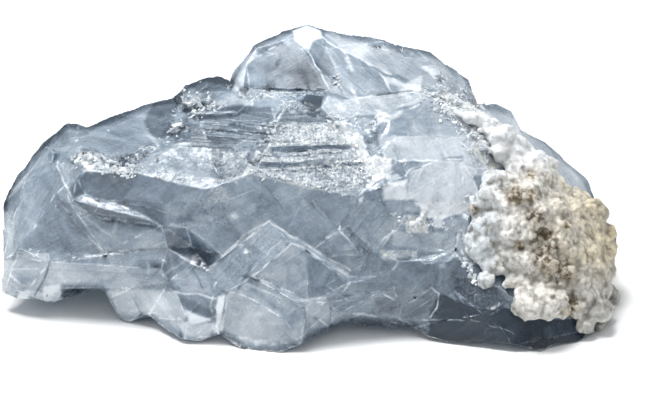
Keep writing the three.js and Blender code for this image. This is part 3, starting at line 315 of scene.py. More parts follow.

# Fine bright creases and edges and dark cracks and steps of the display side; the bright edges are partly
# painted highlights and the dark steps partly painted shade: what each one is, its tone, its width in mm,
# and its course as (across, up) in mm
LINES = (
    ("crack at the left end", 0.9, 0.3, ((-38.1, 18), (-37.1, 15), (-36.4, 14.3))),
    ("streak on the inner face", 0.8, 0.3, ((-35.6, 9.5), (-33.6, 7.5))),
    ("left border of the strip", 0.4, 0.2, ((-35.9, 10), (-31.1, 4.3))),
    ("right border of the strip", 0.4, 0.2, ((-34.1, 10.3), (-29.6, 4.3))),
    ("crease over the sill", 0.45, 0.25,
     ((-43.9, 4.6), (-39.4, 4.2), (-39.1, 3), (-30.1, 2.6), (-22.1, 1.7))),
    ("dark step of the foot", -0.5, 0.3, ((-39.1, 3), (-40, 0.3), (-41.3, -2))),
    ("edge below the notch", 0.8, 0.2, ((-22.1, 1.8), (-21.5, 0.6))),
    ("bright edge of the hollow", 0.9, 0.3, ((-21.5, 5.3), (-16.9, 2.5))),
    ("left edge of the hollow", 0.4, 0.2, ((-22.3, 8.4), (-21.5, 5.3), (-22.3, 1.8))),
    ("dark curve over the toe", -0.5, 0.3, ((-17.9, 2.3), (-16.7, 0.3), (-16, -1.2))),
    ("white crease over the toe", 0.9, 0.3, ((-20.2, -1.4), (-14.2, -2.2))),
    ("right edge of the sill's lobe", 0.5, 0.25, ((-26.9, -1), (-25.5, -4.8))),
    ("outer edge of the left arm", 0.95, 0.35,
     ((-15.5, 1.8), (-14.2, 2.8), (-11.9, 5), (-10.2, 6.8), (-6.2, 9.3))),
    ("inner edge of the left arm", 0.9, 0.35, ((-2.9, 5.8), (-6.2, 3), (-9.2, 0.8), (-12.2, -1.7))),
    ("line along the left arm", 0.55, 0.2, ((-4.2, 6.5), (-10.7, 0.3))),
    ("outer edge of the right arm", 1.0, 0.3, ((-6.2, 9.3), (-4.2, 7.8), (2.1, 4.1), (5.8, 1.8))),
    ("inner edge of the right arm", 0.8, 0.3, ((-2.7, 5.9), (-0.2, 4.8), (3.3, 2.3), (5.8, 0.9))),
    # Darker in a short band on the left arm
    ("dark streak on the left arm", -0.5, 0.5, ((-9.9, 1), (-7.9, 0.4))),
    ("dim stripe of the lens", 0.1, 0.9, ((-8.6, -1), (-4.4, -4))),
    ("edge inside the chevron", 0.5, 0.2, ((-0.7, 3.8), (-0.5, -2.7))),
    ("head of the lens", 0.6, 0.3, ((-12.9, -2.6), (-9.5, -0.2), (-5.7, -1.7), (-2.9, -2.7), (2.1, -2.2))),
    ("crest over the front", 0.75, 0.35,
     ((-33.8, 16.8), (-25.2, 16.4), (-20, 14.9), (-15.9, 14), (-12.4, 15), (-9.2, 16.3), (-3.4, 15),
      (4.1, 13.2))),
    ("crack in the lens facet", -0.5, 0.2, ((-20, 15.5), (-14.2, 15))),
    ("border of the lens facet", 0.75, 0.25, ((-26, 17.8), (-23.4, 19.3), (-20.2, 20.6), (-18, 20.9))),
    ("glittering edge", 1.0, 0.45, ((-7.9, 19.4), (-9.2, 17), (-10.2, 15.8))),
    ("line across the front", -0.25, 0.3, ((-7.4, 15.3), (-4.2, 11.1))),
    ("scratch on the front", 0.7, 0.2, ((0.2, 12.3), (2.1, 9.8))),
    ("dark edge of the front", -0.35, 0.3, ((5.6, 10.2), (1.9, 5.8))),
    ("edges of the triangle", 0.5, 0.25, ((1.5, 6), (4.2, 7.8), (7.6, 4.2), (3.5, 4))),
    ("edge of the dark band", 0.4, 0.2, ((4.2, 7.9), (5.6, 8.6), (9, 5.2))),
    ("crest beside the sugared slope", 1.0, 0.4, ((4.3, 13.3), (6.8, 13.3), (8.1, 14), (9.8, 14.7))),
    ("dark line of the sugared slope", -0.5, 0.3, ((-9.1, 16.4), (-1.9, 16.8), (1.4, 17.2), (5.9, 17.7))),
    ("second line under the riser", -0.45, 0.25, ((-7.4, 18.9), (-0.1, 19.1), (6.3, 19.5))),
    ("left edge of the steep band", 0.9, 0.3, ((-6, 23.8), (-5.4, 24.1), (-4.2, 25.8))),
    ("white line of the comb", 0.95, 0.3, ((-17.8, 25.6), (-11.2, 25.6))),
    ("dark arc over the row", -0.6, 0.35, ((-34, 19.9), (-32.4, 19.8), (-31, 19))),
    ("dark line over the row", -0.5, 0.25, ((-29, 19.1), (-26.6, 19.1))),
    ("border of the front and the bench", 0.35, 0.2, ((10.3, 12), (12.2, 8.7), (10.3, 4.6))),
    ("glittering seam of the bench", 0.95, 0.35, ((13.8, 9.8), (11.8, 7.3), (10.3, 4.6))),
    ("white line on the pale block", 1.0, 0.25, ((10.8, 14.3), (14.3, 14.9))),
    ("left edge of the big facet", 0.95, 0.35,
     ((16.1, 26.6), (13.8, 25.3), (11.1, 23.9), (10, 22.5), (10.3, 20.8), (11.1, 18.5))),
    ("right edge of the big facet", 0.9, 0.35, ((19.8, 26.8), (21.8, 25.5), (23.8, 23.8), (24.1, 22.3))),
    ("foot of the big facet", 1.1, 0.3, ((11.1, 18.4), (18.8, 18.2), (22.8, 18.4))),
    ("curved streak of the pale face", 1.1, 0.25, ((14.3, 16.5), (15.8, 17.3), (17.8, 17.8))),
    ("bright crease of the top", 1.0, 0.35, ((1.6, 37.1), (5.6, 34.4), (8, 33.2), (12.2, 31.4))),
    ("dark curve of the top", -0.5, 0.45, ((-0.6, 33.8), (0.9, 31.4), (2, 28.9))),
    ("bright curve of the top", 0.8, 0.25, ((-0.2, 34.2), (1.5, 31.4), (2.7, 28.8))),
    ("curls under the top", 1.0, 0.3, ((4.1, 29.8), (5.2, 28.7), (6.2, 28))),
    ("crease behind the shelf", 1.0, 0.3, ((5, 27.4), (10.1, 27.9), (14.3, 28.4), (17.9, 28.5))),
    ("left border of the white triangle", 1.1, 0.3, ((10.4, 31.6), (12.2, 28.6))),
    ("line in the face under the benches", 0.45, 0.3, ((5.8, 1), (9.8, 1))),
    ("short white line", 0.9, 0.25, ((11.1, -1.7), (12.5, -2.8))),
    ("light line at the foot", 0.6, 0.3, ((6.3, -4.7), (12.8, -5.2), (15.1, -6.4))),
    ("right edge of the blue lens", 0.9, 0.3, ((18, -0.8), (19.2, -1.5), (18.8, -3.7), (17.8, -5.2))),
    ("left edge of the blue lens", 0.3, 0.2, ((13.1, -5), (13.6, -3.4), (16.3, -2.2), (18, -0.8))),
    ("line under the blue lens", 0.2, 0.3, ((17.8, -5.6), (23.8, -5.6))),
    ("edge in the navy faces", -0.3, 0.25, ((21.4, -2.3), (23.8, -5.6), (30, -7.4))),
    ("head of the shaded facet", 0.6, 0.3,
     ((12.1, 2), (13.1, 3), (16.3, 3.5), (16.8, 2.9), (20.3, 3.3), (21.6, 3.9))),
)

# The outline of the display side as (across, up) in mm, clockwise, without the left end
RIM = (
    (-46.5, 11.5), (-44.7, 15.8), (-42, 19.3), (-38.5, 22.5), (-37, 24), (-34, 23.4), (-25, 27),
    (-20.5, 28), (-19, 30), (-16, 31), (-12.3, 30.3), (-10.3, 33.5), (-9, 36), (-4, 38), (-0.5, 39),
    (6, 37.5), (13.5, 35.7), (18, 35), (24, 30.7), (25.3, 27), (30.5, 26), (35.5, 21.3), (42, 15.8),
    (43.3, 9), (44, 5), (43, -4.5), (40, -8.7), (34.5, -10.5), (30, -9.2), (17, -8), (15, -6.8),
    (5.5, -5.8), (-1.5, -9.3), (-8.5, -10.5), (-13.5, -7.8), (-16.5, -8.8), (-19, -8.5), (-24, -5.3),
    (-29, -5.3), (-31.5, -1.2), (-36.5, -1), (-39.5, -3.3), (-41.5, -2.6),
)

# Soft changes of the tone inside the facets, most of them painted light and shade: glows and highlights
# painted lighter and shadows painted darker, besides a few white streaks and specks of the crystal's own:
# what each one is, the change, its middle as (across, up) and its reach both ways in mm
GLOWS = (
    ("shadow at the right of the top crystal", -0.8, (0.4, 30.4), (3.2, 3.8)),
    ("glow at the foot of the top crystal", 0.5, (-8.4, 30.2), (1.4, 0.9)),
    ("glow of the left end", 0.25, (-42.0, 8.0), (2.2, 3.4)),
    ("white streak of the left end", 0.5, (-45.4, 7.0), (0.7, 3.0)),
    ("glow at the left of the sill", 0.35, (-37.6, 1.2), (2.6, 2.0)),
    ("glow of the inner face", 0.25, (-34.0, 6.4), (2.0, 1.2)),
    # Painted shadow under the ledge
    ("painted shadow under the ledge", -0.35, (-28.4, 8.6), (3.4, 0.8)),
    ("glow under the ledge", 0.35, (-24.6, 5.6), (1.4, 1.3)),
    ("speck under the ledge", 0.5, (-29.2, 6.5), (0.5, 0.4)),
    ("notch at the end of the sill", -0.9, (-23.1, 2.5), (0.9, 0.45)),
    ("streaky shade in the lens", -0.45, (-3.0, -5.6), (1.3, 1.6)),
    ("shadow of the hollow", -0.65, (-15.9, 3.7), (1.9, 1.5)),
    ("white spot on the front", 1.0, (-11.5, 9.9), (0.8, 0.4)),
    # Darker in a thin band under the lens facet
    ("dark streak under the lens facet", -0.6, (-13.7, 14.6), (1.4, 0.3)),
    ("specks of the lens", 0.5, (-7.8, -4.7), (0.8, 0.5)),
    ("glow in the chevron", 0.15, (-4.6, 1.6), (2.0, 1.4)),
    ("hottest part of the big facet", 0.4, (13.4, 21.2), (1.5, 1.0)),
    ("glow of the toe", 0.4, (-22.7, -3.2), (1.8, 1.8)),
    ("hot sparkle of the bench", 0.8, (16.3, 7.9), (0.8, 0.6)),
    ("hot spot of the white triangle", 0.6, (15.7, 29.1), (0.9, 0.6)),
    ("spot of the top", 1.0, (4.0, 30.8), (0.45, 0.7)),
    ("spot of the shelf", 0.7, (4.4, 26.4), (0.5, 0.5)),
    ("spot of the shaded facet", 0.9, (19.6, 2.5), (0.5, 0.4)),
    ("whitest part of the top", 0.5, (7.2, 35.2), (1.6, 1.2)),
    ("shade under the combed slope", -0.3, (-16.0, 21.2), (4.0, 0.8)),
    ("glow at the foot of the crust", 0.4, (38.0, -7.0), (5.0, 1.4)),
)

# The milkiest place, in the crystal at the top: its middle as (across, up) and its reach both ways in mm
MILKY_CORE = (-2.5, 32.0), (8.0, 5.0)

# The facets that fine lines run over: how strongly, from 0 to 1, and the angle in degrees by which the lines
# rise to the right. The other facets have PLAIN_COMB.
COMBS = {
    "upper zone of the left end": (0.3, 60),
    "white streaks at the left end": (0.6, 84),
    "ledge over the slit": (0.4, -22),
    "sill": (0.35, -3),
    "toe": (0.3, -52),
    "combed slope": (1.0, -9),
    "dark foot of the combed slope": (0.9, -4),
    "speckled row": (0.5, -4),
    "sugared slope": (0.25, 1),
    "middle riser": (0.6, 1),
    "upper riser": (0.6, 1),
    "steep band": (0.7, 1),
    "frosted band under the top": (0.7, 3),
    "left arm of the chevron": (0.35, 43),
    "right arm of the chevron": (0.25, -33),
    "right side of the top": (0.15, -40),
    "shelf": (0.3, 12),
    "lens at the foot": (0.15, 60),
    "hatched face": (0.6, 50),
    "dark band beside the triangle": (0.9, 50),
    "upper part of the big facet": (0.3, 0),
    "face under the benches": (0.4, 0),
}
PLAIN_COMB = (0.2, 30)

# Where small crystals sparkle on the display side: what they are, the row that they stand along as
# (across, up) in mm, how far they stray from it, how many there are, and their smallest and largest size in
# mm
SPARKLES = (
    ("sparkling row", ((-35, 18.2), (-33, 18.2), (-29, 17), (-26, 17)), 0.6, 150, (0.2, 1.0)),
    ("seam over the pale lens", ((-25, 19.6), (-20.4, 22.6), (-20.3, 23.6)), 0.5, 40, (0.2, 0.9)),
    ("rough knob", ((-19.6, 26.4), (-17, 27.4), (-15.6, 27.2)), 0.9, 80, (0.2, 0.9)),
    ("foot of the knob", ((-17.4, 25.2), (-15.6, 26.6), (-12, 26.6)), 0.35, 30, (0.2, 0.7)),
    ("edge of the sugared slope", ((-9, 16.6), (-7.6, 19), (-6, 22.6), (-5.2, 24.4)), 0.4, 70, (0.2, 0.8)),
    ("crest of the sugared slope", ((-9, 16.2), (-2.5, 15.2), (5, 13.1)), 0.25, 60, (0.15, 0.6)),
    ("seam beside the sugared slope", ((8.4, 15.2), (7.4, 19.4), (5.2, 22.4)), 0.7, 60, (0.2, 0.9)),
    ("edge of the shelf", ((2.6, 24.6), (7, 23.6), (10, 23)), 0.6, 40, (0.2, 1.0)),
    ("foot of the ridge", ((20, 26.6), (23.6, 23.4), (25.4, 20.8), (26.8, 18.2)), 0.35, 260, (0.3, 0.9)),
    ("head of the crust", ((18.4, 28.6), (22.6, 26), (25.4, 22.6), (27.4, 19)), 1.4, 500, (0.25, 0.9)),
    ("white cluster on the bench", ((14.8, 8.6), (18.4, 8.8), (22.4, 8.4)), 0.6, 40, (0.2, 0.6)),
    ("seam of the right facets", ((10, 12.8), (13.6, 9), (14.8, 6.4)), 0.3, 20, (0.2, 0.5)),
    ("edge of the crust", ((24, 16), (23.2, 11), (23, 6), (23.6, 2.4), (25, 0)), 0.6, 50, (0.3, 1.2)),
    ("bright spots of the top", ((3.6, 31), (4.2, 30.4)), 0.4, 10, (0.3, 1.0)),
)

# The patches of brown stain on the crust: the middle of each as (across, up) and its reach in mm
STAINS = (
    ((30.6, 13.0), 1.3), ((33.0, 12.8), 1.0), ((32.8, 16.2), 0.7), ((35.0, 6.2), 2.0),
    ((37.2, 1.6), 2.0), ((34.4, 3.4), 1.3), ((39.0, -3.7), 1.4), ((30.9, 5.4), 0.8),
    ((38.2, 8.6), 0.5), ((24.1, 10.9), 0.7), ((33.4, 9.6), 1.2),
)


class StudioLook(bpy.types.PropertyGroup):
    """The floor, the lights and the lens."""

    lens: FloatProperty(name="Lens", description="Focal length of the camera", default=500.0, unit="CAMERA")
    floor: FloatVectorProperty(
        name="Floor", description="Colour of the floor", subtype="COLOR", size=3, default=(0.9, 0.9, 0.9)
    )
    key: FloatProperty(
        name="Key light", description="Power of the light above", default=9.5, min=0.0, unit="POWER"
    )
    fill: FloatProperty(
        name="Fill light", description="Power of the light on the viewer's side", default=1.0, min=0.0,
        unit="POWER",
    )
    sky: FloatProperty(name="Sky", description="Strength of the pale surroundings", default=0.75, min=0.0)


class CrystalLook(bpy.types.PropertyGroup):
    """The grown-together crystals."""

    fine: FloatProperty(
        name="Fine detail", description="Longest edge on the display side", default=0.00086, unit="LENGTH"
    )
    coarse: FloatProperty(
        name="Coarse detail", description="Longest edge on the other sides", default=0.0016, unit="LENGTH"
    )
    edge: FloatProperty(
        name="Edge detail", description="Longest edge along the sharp edges of the display side",
        default=0.00048, unit="LENGTH",
    )
    deep: FloatVectorProperty(
        name="Deep blue", description="Colour of the shaded facets", subtype="COLOR", size=3,
        default=(0.05, 0.08, 0.12),
    )
    body: FloatVectorProperty(
        name="Blue-grey", description="Colour of the plain crystal", subtype="COLOR", size=3,
        default=(0.37, 0.445, 0.52),
    )
    milk: FloatVectorProperty(
        name="Milk white", description="Colour of the milky facets", subtype="COLOR", size=3,
        default=(0.75, 0.785, 0.82),
    )
    sugar: FloatVectorProperty(
        name="Frost white", description="Colour of the sugary facets", subtype="COLOR", size=3,
        default=(0.77, 0.775, 0.755),
    )
    clearness: FloatProperty(
        name="Clearness", description="Share of the light that passes into the crystal", default=0.95,
        min=0.0, max=1.0, subtype="FACTOR",
    )
    absorption: FloatProperty(
        name="Absorption", description="How much a metre of crystal takes from the light", default=40.0,
        min=0.0,
    )


class SmallCrystalLook(bpy.types.PropertyGroup):
    """The small crystals in the seams."""

    colour: FloatVectorProperty(
        name="Colour", description="Colour of the small crystals", subtype="COLOR", size=3,
        default=(0.92, 0.95, 0.97),
    )


class CrustLook(bpy.types.PropertyGroup):
    """The sugary crust."""

    skin: FloatProperty(name="Skin", description="Size of the skin's cells", default=0.00024, unit="LENGTH")
    grains: IntProperty(name="Grains", description="How many coarse grains there are", default=2200, min=10)
    smallest: FloatProperty(
        name="Smallest grain", description="Size of the finest", default=0.0006, unit="LENGTH"
    )
    largest: FloatProperty(
        name="Largest grain", description="Size of the coarsest", default=0.0026, unit="LENGTH"
    )
    white: FloatVectorProperty(
        name="White", description="Colour of the clean grains", subtype="COLOR", size=3,
        default=(0.93, 0.9, 0.84),
    )
    cream: FloatVectorProperty(
        name="Cream", description="Colour of the grains at the end", subtype="COLOR", size=3,
        default=(0.8, 0.69, 0.47),
    )
    stain: FloatVectorProperty(
        name="Stain", description="Colour of the brown stain", subtype="COLOR", size=3,
        default=(0.105, 0.07, 0.03),
    )


class Number:
    """A number that varies over a surface: Python's operators add Math nodes to its shader."""

    def __init__(self, shader, socket):
        self.shader = shader
        self.socket = socket

    def worked(self, operation, *values, clamp=False):
        """The result of one Math node."""
        settings = {"operation": operation, "use_clamp": clamp}
        return Number(self.shader, self.shader.add("ShaderNodeMath", settings, values).outputs[0])

    def __add__(self, other):
        return self.worked("ADD", self, other)

    def __radd__(self, other):
        return self.worked("ADD", other, self)

    def __sub__(self, other):
        return self.worked("SUBTRACT", self, other)

    def __rsub__(self, other):
        return self.worked("SUBTRACT", other, self)

    def __mul__(self, other):
        return self.worked("MULTIPLY", self, other)

    def __rmul__(self, other):
        return self.worked("MULTIPLY", other, self)

    def clipped(self):
        """This number kept between 0 and 1."""
        return self.worked("ADD", self, 0.0, clamp=True)

    def rise(self, low, high):
        """0 up to low, 1 from high on and smooth in between, or the other way round if low is over high."""
        settings = {"interpolation_type": "SMOOTHSTEP"}
        values = {"Value": self, "From Min": low, "From Max": high}
        return Number(self.shader, self.shader.add("ShaderNodeMapRange", settings, values).outputs["Result"])


class Shader:
    """The nodes of a new material or of new surroundings."""

    def __init__(self, owner):
        self.owner = owner
        owner.use_nodes = True
        self.tree = owner.node_tree
        self.tree.nodes.clear()

    def add(self, kind, settings=None, values=()):
        """A new node: its settings come first, then its sockets' values or links, by name or in order."""
        node = self.tree.nodes.new(kind)
        for name, setting in (settings or {}).items():
            setattr(node, name, setting)
        pairs = values.items() if isinstance(values, dict) else enumerate(values)
        for key, value in pairs:
            if isinstance(value, Number):
                value = value.socket
            if isinstance(value, bpy.types.NodeSocket):
                self.tree.links.new(value, node.inputs[key])
            else:
                node.inputs[key].default_value = value
        return node

    def place(self):
        """The place on the surface, in millimetres."""
        where = self.add("ShaderNodeTexCoord").outputs["Object"]
        return self.vector("SCALE", {0: where, "Scale": 1 / MM}).outputs[0]

    def vector(self, operation, values):
        """A step of vector maths."""
        return self.add("ShaderNodeVectorMath", {"operation": operation}, values)

    def turned(self, place, angles, stretch):
        """The place turned by angles in degrees and then stretched, for grain that runs one way."""
        turn = self.add("ShaderNodeVectorRotate", {"rotation_type": "EULER_XYZ"},
                        {"Vector": place, "Rotation": [math.radians(a) for a in angles]})
        return self.vector("DIVIDE", (turn.outputs[0], stretch)).outputs[0]

    def attribute(self, name):
        """A number that the mesh holds for each of its points."""
        return Number(self, self.add("ShaderNodeAttribute", {"attribute_name": name}).outputs["Fac"])

    def cloud(self, place, size, detail=3.0, roughness=0.5, distortion=0.0):
        """Soft noise from 0 to 1 whose lumps are about size across."""
        values = {"Vector": place, "Scale": 1 / size, "Detail": detail, "Roughness": roughness,
                  "Distortion": distortion}
        return Number(self, self.add("ShaderNodeTexNoise", None, values).outputs["Fac"])

    def cells(self, place, size, output="Distance", feature="F1"):
        """A pattern of cells about size across: how far a cell's middle is, or its own random number."""
        node = self.add("ShaderNodeTexVoronoi", {"feature": feature}, {"Vector": place, "Scale": 1 / size})
        return Number(self, node.outputs[output])

    def streaks(self, run, size):
        """Noise from 0 to 1 along one number, with streaks about size across."""
        values = {"W": run, "Scale": 1 / size, "Detail": 3.0, "Roughness": 0.6}
        node = self.add("ShaderNodeTexNoise", {"noise_dimensions": "1D"}, values)
        return Number(self, node.outputs["Fac"])

    def facets(self, place, size, slope):
        """Relief in millimetres of flat facets about size across, each of which leans its own way."""
        cells = self.add("ShaderNodeTexVoronoi", None, {"Vector": place, "Scale": 1 / size})
        lean = self.vector("SUBTRACT", (cells.outputs["Color"], (0.5, 0.5, 0.5))).outputs[0]
        away = self.vector("SUBTRACT", (place, cells.outputs["Position"])).outputs[0]
        height = self.vector("DOT_PRODUCT", (lean, away)).outputs["Value"]
        return Number(self, height) * (2 * slope)

    def mixed(self, share, one, other):
        """A colour between two others."""
        one, other = ((*c, 1.0) if isinstance(c, tuple) else c for c in (one, other))
        node = self.add("ShaderNodeMix", {"data_type": "RGBA"}, {"Factor": share})
        for socket, colour in zip((node.inputs[6], node.inputs[7]), (one, other)):
            if isinstance(colour, bpy.types.NodeSocket):
                self.tree.links.new(colour, socket)
            else:
                socket.default_value = colour
        return node.outputs[2]

    def bump(self, height_mm):
        """A normal for fine relief whose height is in millimetres."""
        values = {"Height": height_mm, "Strength": 1.0, "Distance": MM}
        return self.add("ShaderNodeBump", None, values).outputs[0]

    def finish(self, surface, volume=None, kind="ShaderNodeOutputMaterial"):
        """Sends the surface, and the volume if there is one, to the output, and gives back the owner."""
        values = {"Surface": surface.outputs[0]}
        if volume is not None:
            values["Volume"] = volume.outputs[0]
        self.add(kind, None, values)
        return self.owner


def on_display(points):
    """Points in millimetres as (across, up, out) on the display face."""
    from_zero = points - DISPLAY_ZERO
    return np.stack([from_zero @ ACROSS, from_zero @ UP, from_zero @ OUT], axis=1)


def in_frame(across, up, out):
    """A place on the display face as a point in the frame, in millimetres."""
    return DISPLAY_ZERO + across * ACROSS + up * UP + out * OUT


def distance_to(points, course):
    """How far in mm each (across, up) point is from a course of straight legs."""
    x, y = points[:, 0], points[:, 1]
    nearest = np.full(len(points), np.inf)
    for (ax, ay), (bx, by) in zip(course[:-1], course[1:]):
        length = (bx - ax) ** 2 + (by - ay) ** 2
        along = np.clip(((x - ax) * (bx - ax) + (y - ay) * (by - ay)) / length, 0, 1)
        nearest = np.minimum(nearest, np.hypot(x - ax - along * (bx - ax), y - ay - along * (by - ay)))
    return nearest


def closed(outline):
    """The course all the way round an outline."""
    return (*outline, outline[0])


def share_inside(points, outline, softness):
    """How far each (across, up) point lies inside an outline: 0 outside, 1 inside, and soft at its edge."""
    x, y = points[:, 0], points[:, 1]
    course = closed(outline)
    inside = np.zeros(len(points), bool)
    for (ax, ay), (bx, by) in zip(course[:-1], course[1:]):
        if ay != by:
            inside ^= ((ay > y) != (by > y)) & (x < (bx - ax) * (y - ay) / (by - ay) + ax)
    nearest = distance_to(points, course)
    return np.clip(0.5 + np.where(inside, nearest, -nearest) / (2 * softness), 0, 1)


def away_from(display, middle, reach):
    """How far each point is from a middle on the display side, in parts of its reach across and up."""
    return np.hypot((display[:, 0] - middle[0]) / reach[0], (display[:, 1] - middle[1]) / reach[1])


def ramp(values, start, length):
    """0 up to the start, 1 from a length further on, and straight in between."""
    return np.clip((values - start) / length, 0, 1)


def noise_at(points, size, seed=0.0):
    """Soft noise from -1 to 1 at each point, with lumps of the given size in millimetres."""
    shift = Vector((seed, 2 * seed, 3 * seed))
    return np.array([noise.noise(Vector(p) / size + shift) for p in points])


def broken_facets(points, size, slope, seed):
    """Relief of flat broken facets about size across: each one leans its own way."""
    noise.seed_set(FACET_SEED)
    shift = Vector((seed, 2 * seed, 3 * seed))
    heights = np.empty(len(points))
    for i, point in enumerate(points):
        place = Vector(point) / size + shift
        middle = noise.voronoi(place)[1][0]
        heights[i] = (place - middle).dot(noise.noise_vector(middle * 7.3)) * size * slope
    return heights


def pebbles(points, size, seed):
    """Rounded bumps about size across: 1 on top of each, down to 0 and less in the grooves between them."""
    shift = Vector((seed, 2 * seed, 3 * seed))
    return np.array([1 - 2.2 * noise.voronoi(Vector(p) / size + shift)[0][0] ** 2 for p in points])


def sharp_points(surface, sharp_angle):
    """The points on the sharp edges of a surface."""
    sharp = (edge for edge in surface.edges if edge.calc_face_angle(0.0) > sharp_angle)
    return {vertex for edge in sharp for vertex in edge.verts}


def points_along(surface, courses, reach):
    """The points of a surface that lie within reach, in mm, of courses on the display side."""
    points = on_display(np.array([v.co for v in surface.verts]) / MM)[:, :2]
    close = np.zeros(len(points), bool)
    for course in courses:
        close |= distance_to(points, course) < reach
    return {vertex for vertex, is_close in zip(surface.verts, close) if is_close}


def fine_mesh(node, on_show, hidden, at_edges=None):
    """A node's surface cut into triangles whose edges are no longer than this: on the display side,
    elsewhere and, where it is given, along the sharp edges of the display side. Along its fine lines it
    takes about half of the last length."""
    surface = bmesh.new()
    surface.from_mesh(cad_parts[node].data)
    bmesh.ops.remove_doubles(surface, verts=surface.verts, dist=2e-6)
    viewer = Vector(OUT)
    borders = [closed(outline) for *_, outline in FACETS]
    courses = [course for *_, course in LINES]
    plain_rounds, edge_rounds, line_rounds = 7, 2, 4
    least_facing, share_at_lines = 0.05, 0.55
    for turn in range(plain_rounds + (line_rounds if at_edges else 0)):
        surface.normal_update()
        worn, lined = set(), set()
        if turn >= plain_rounds:
            lined = points_along(surface, courses, reach=0.4)
        if plain_rounds <= turn < plain_rounds + edge_rounds:
            worn = sharp_points(surface, EDGE_ANGLE) | points_along(surface, borders, reach=0.25)
        long_edges = []
        for edge in surface.edges:
            shown = any(face.normal.dot(viewer) > least_facing for face in edge.link_faces)
            limit = on_show if shown else hidden
            if shown and not worn.isdisjoint(edge.verts):
                limit = at_edges
            if shown and not lined.isdisjoint(edge.verts):
                limit = share_at_lines * at_edges
            if edge.calc_length() > limit:
                long_edges.append(edge)
        bmesh.ops.subdivide_edges(surface, edges=long_edges, cuts=1)
        bmesh.ops.triangulate(surface, faces=[f for f in surface.faces if len(f.verts) > 3])
    surface.normal_update()
    return surface


def soften_edges(surface, share):
    """Wears the sharp edges a little and says which points lie on them."""
    worn = sharp_points(surface, EDGE_ANGLE)
    moved = {}
    for vertex in worn:
        around = [edge.other_vert(vertex).co for edge in vertex.link_edges]
        moved[vertex] = vertex.co.lerp(sum(around, Vector()) / len(around), share)
    for vertex, place in moved.items():
        vertex.co = place
    surface.normal_update()
    surface.verts.index_update()
    return np.array([float(vertex in worn) for vertex in surface.verts])


def smoothed(mesh, sharp_angle):
    """Shades a mesh smooth between its sharp edges."""
    mesh.shade_smooth()
    mesh.set_sharp_from_angle(angle=sharp_angle)


def add_piece(name, mesh, material, replaces=()):
    """Puts a finished mesh in the scene as a piece of the specimen."""
    piece = bpy.data.objects.new(name, mesh)
    bpy.context.scene.collection.objects.link(piece)
    mesh.materials.clear()
    mesh.materials.append(material)
    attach(piece, BODY)
    if replaces:
        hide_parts(*replaces)


def add_numbers(mesh, name, values):
    """Stores one number for each point of a mesh, for its shader to read."""
    mesh.attributes.new(name, "FLOAT", "POINT").data.foreach_set("value", values.astype(np.float32))


def finish_of_hidden(points, normals):
    """The finish of the back, the sides and the underside, in the rows of finish_of_facets."""
    turning = np.array([noise.noise(Vector(n) * 2.3 + Vector(p) / 30) for n, p in zip(normals, points)])
    return np.stack([
        0.1 + 0.5 * turning,
        np.clip(0.25 + 1.1 * noise_at(points, size=9, seed=3.1), 0, 1),
        np.clip(1.6 * noise_at(points, size=14, seed=5.3), 0, 0.8),
        points @ np.array((0.5, 0.2, 0.84)),
    ])


def finish_of_shown(points):
    """The finish of the display side, in the rows of finish_of_facets."""
    display = on_display(points)[:, :2]
    tone = -0.1 + 0.12 * noise_at(points, size=7, seed=1.7)
    frost = np.full(len(points), 0.1)
    combing = np.full(len(points), 0.15)
    run = display @ across_lines(PLAIN_COMB[1])
    wander = np.stack([noise_at(points, size=2.0, seed=5.0), noise_at(points, size=2.0, seed=8.0)], axis=1)
    traced = display + 0.25 * wander
    for name, its_tone, its_frost, outline in FACETS:
        share = share_inside(traced, outline, softness=0.18)
        comb, angle = COMBS.get(name, PLAIN_COMB)
        tone += share * (its_tone - tone)
        frost += share * (its_frost - frost)
        combing += share * (comb - combing)
        run = np.where(share > 0.5, display @ across_lines(angle), run)
    for _, change, middle, reach in GLOWS:
        tone += change * np.exp(-away_from(display, middle, reach) ** 2)
    broken = np.clip(0.75 + 1.2 * noise_at(points, size=1.6, seed=9.0), 0, 1)
    for _, its_tone, width, course in LINES:
        share = broken * np.clip(1.3 - distance_to(traced, course) / (0.6 * width), 0, 1)
        tone += share * (its_tone - tone)
    # Painted shade: a dark band along the outline of the display side
    rim, rim_width, rim_shade = distance_to(display, RIM), 0.8, 0.8
    rim += 0.3 * noise_at(points, size=3.0, seed=13.0)
    tone -= rim_shade * np.clip(1.4 - rim / rim_width, 0, 1)
    return np.stack([tone, frost, combing, run])


def finish_of_facets(points, normals):
    """Four rows with a number for each point of the crystals: the tone, the frosting, the combing and the
    place across the combing's lines in mm."""
    hidden, shown = finish_of_hidden(points, normals), finish_of_shown(points)
    on_show = ramp(normals @ OUT, -0.15, 0.1)
    finish = hidden + on_show * (shown - hidden)
    finish[3] = np.where(on_show > 0.5, shown[3], hidden[3])
    return finish


def milky_core(points):
    """How milky each point is made by the core of the top crystal, up to 1."""
    return np.clip(1.6 - away_from(on_display(points), *MILKY_CORE), 0, 1)


def across_lines(angle):
    """The direction (across, up) that crosses lines which rise to the right by an angle in degrees."""
    return np.array((-math.sin(math.radians(angle)), math.cos(math.radians(angle))))


def relief_of_crystals(points, frost, comb, run, edge):
    """How far each point of the crystals stands out of its flat facet, in millimetres."""
    step_width, step_height, sugar_height, chip_depth, sinking = 2.3, 0.2, 0.05, 0.5, 0.1
    swell = 0.06 * noise_at(points, size=6, seed=2.0)
    facets = broken_facets(points, size=6.5, slope=0.09, seed=1.3)
    facets += (0.15 + 0.3 * frost) * broken_facets(points, size=2.2, slope=0.14, seed=4.1)
    step = run / step_width + 0.5 * noise_at(points, size=12, seed=6.0)
    steps = step_height * comb * (step - np.floor(step) - 0.5)
    sugar = frost * sugar_height * noise_at(points, size=0.9, seed=7.0)
    chips = -edge * np.clip(noise_at(points, size=1.3, seed=12.0), 0, 1) * chip_depth
    return swell + facets + steps + sugar + chips - sinking


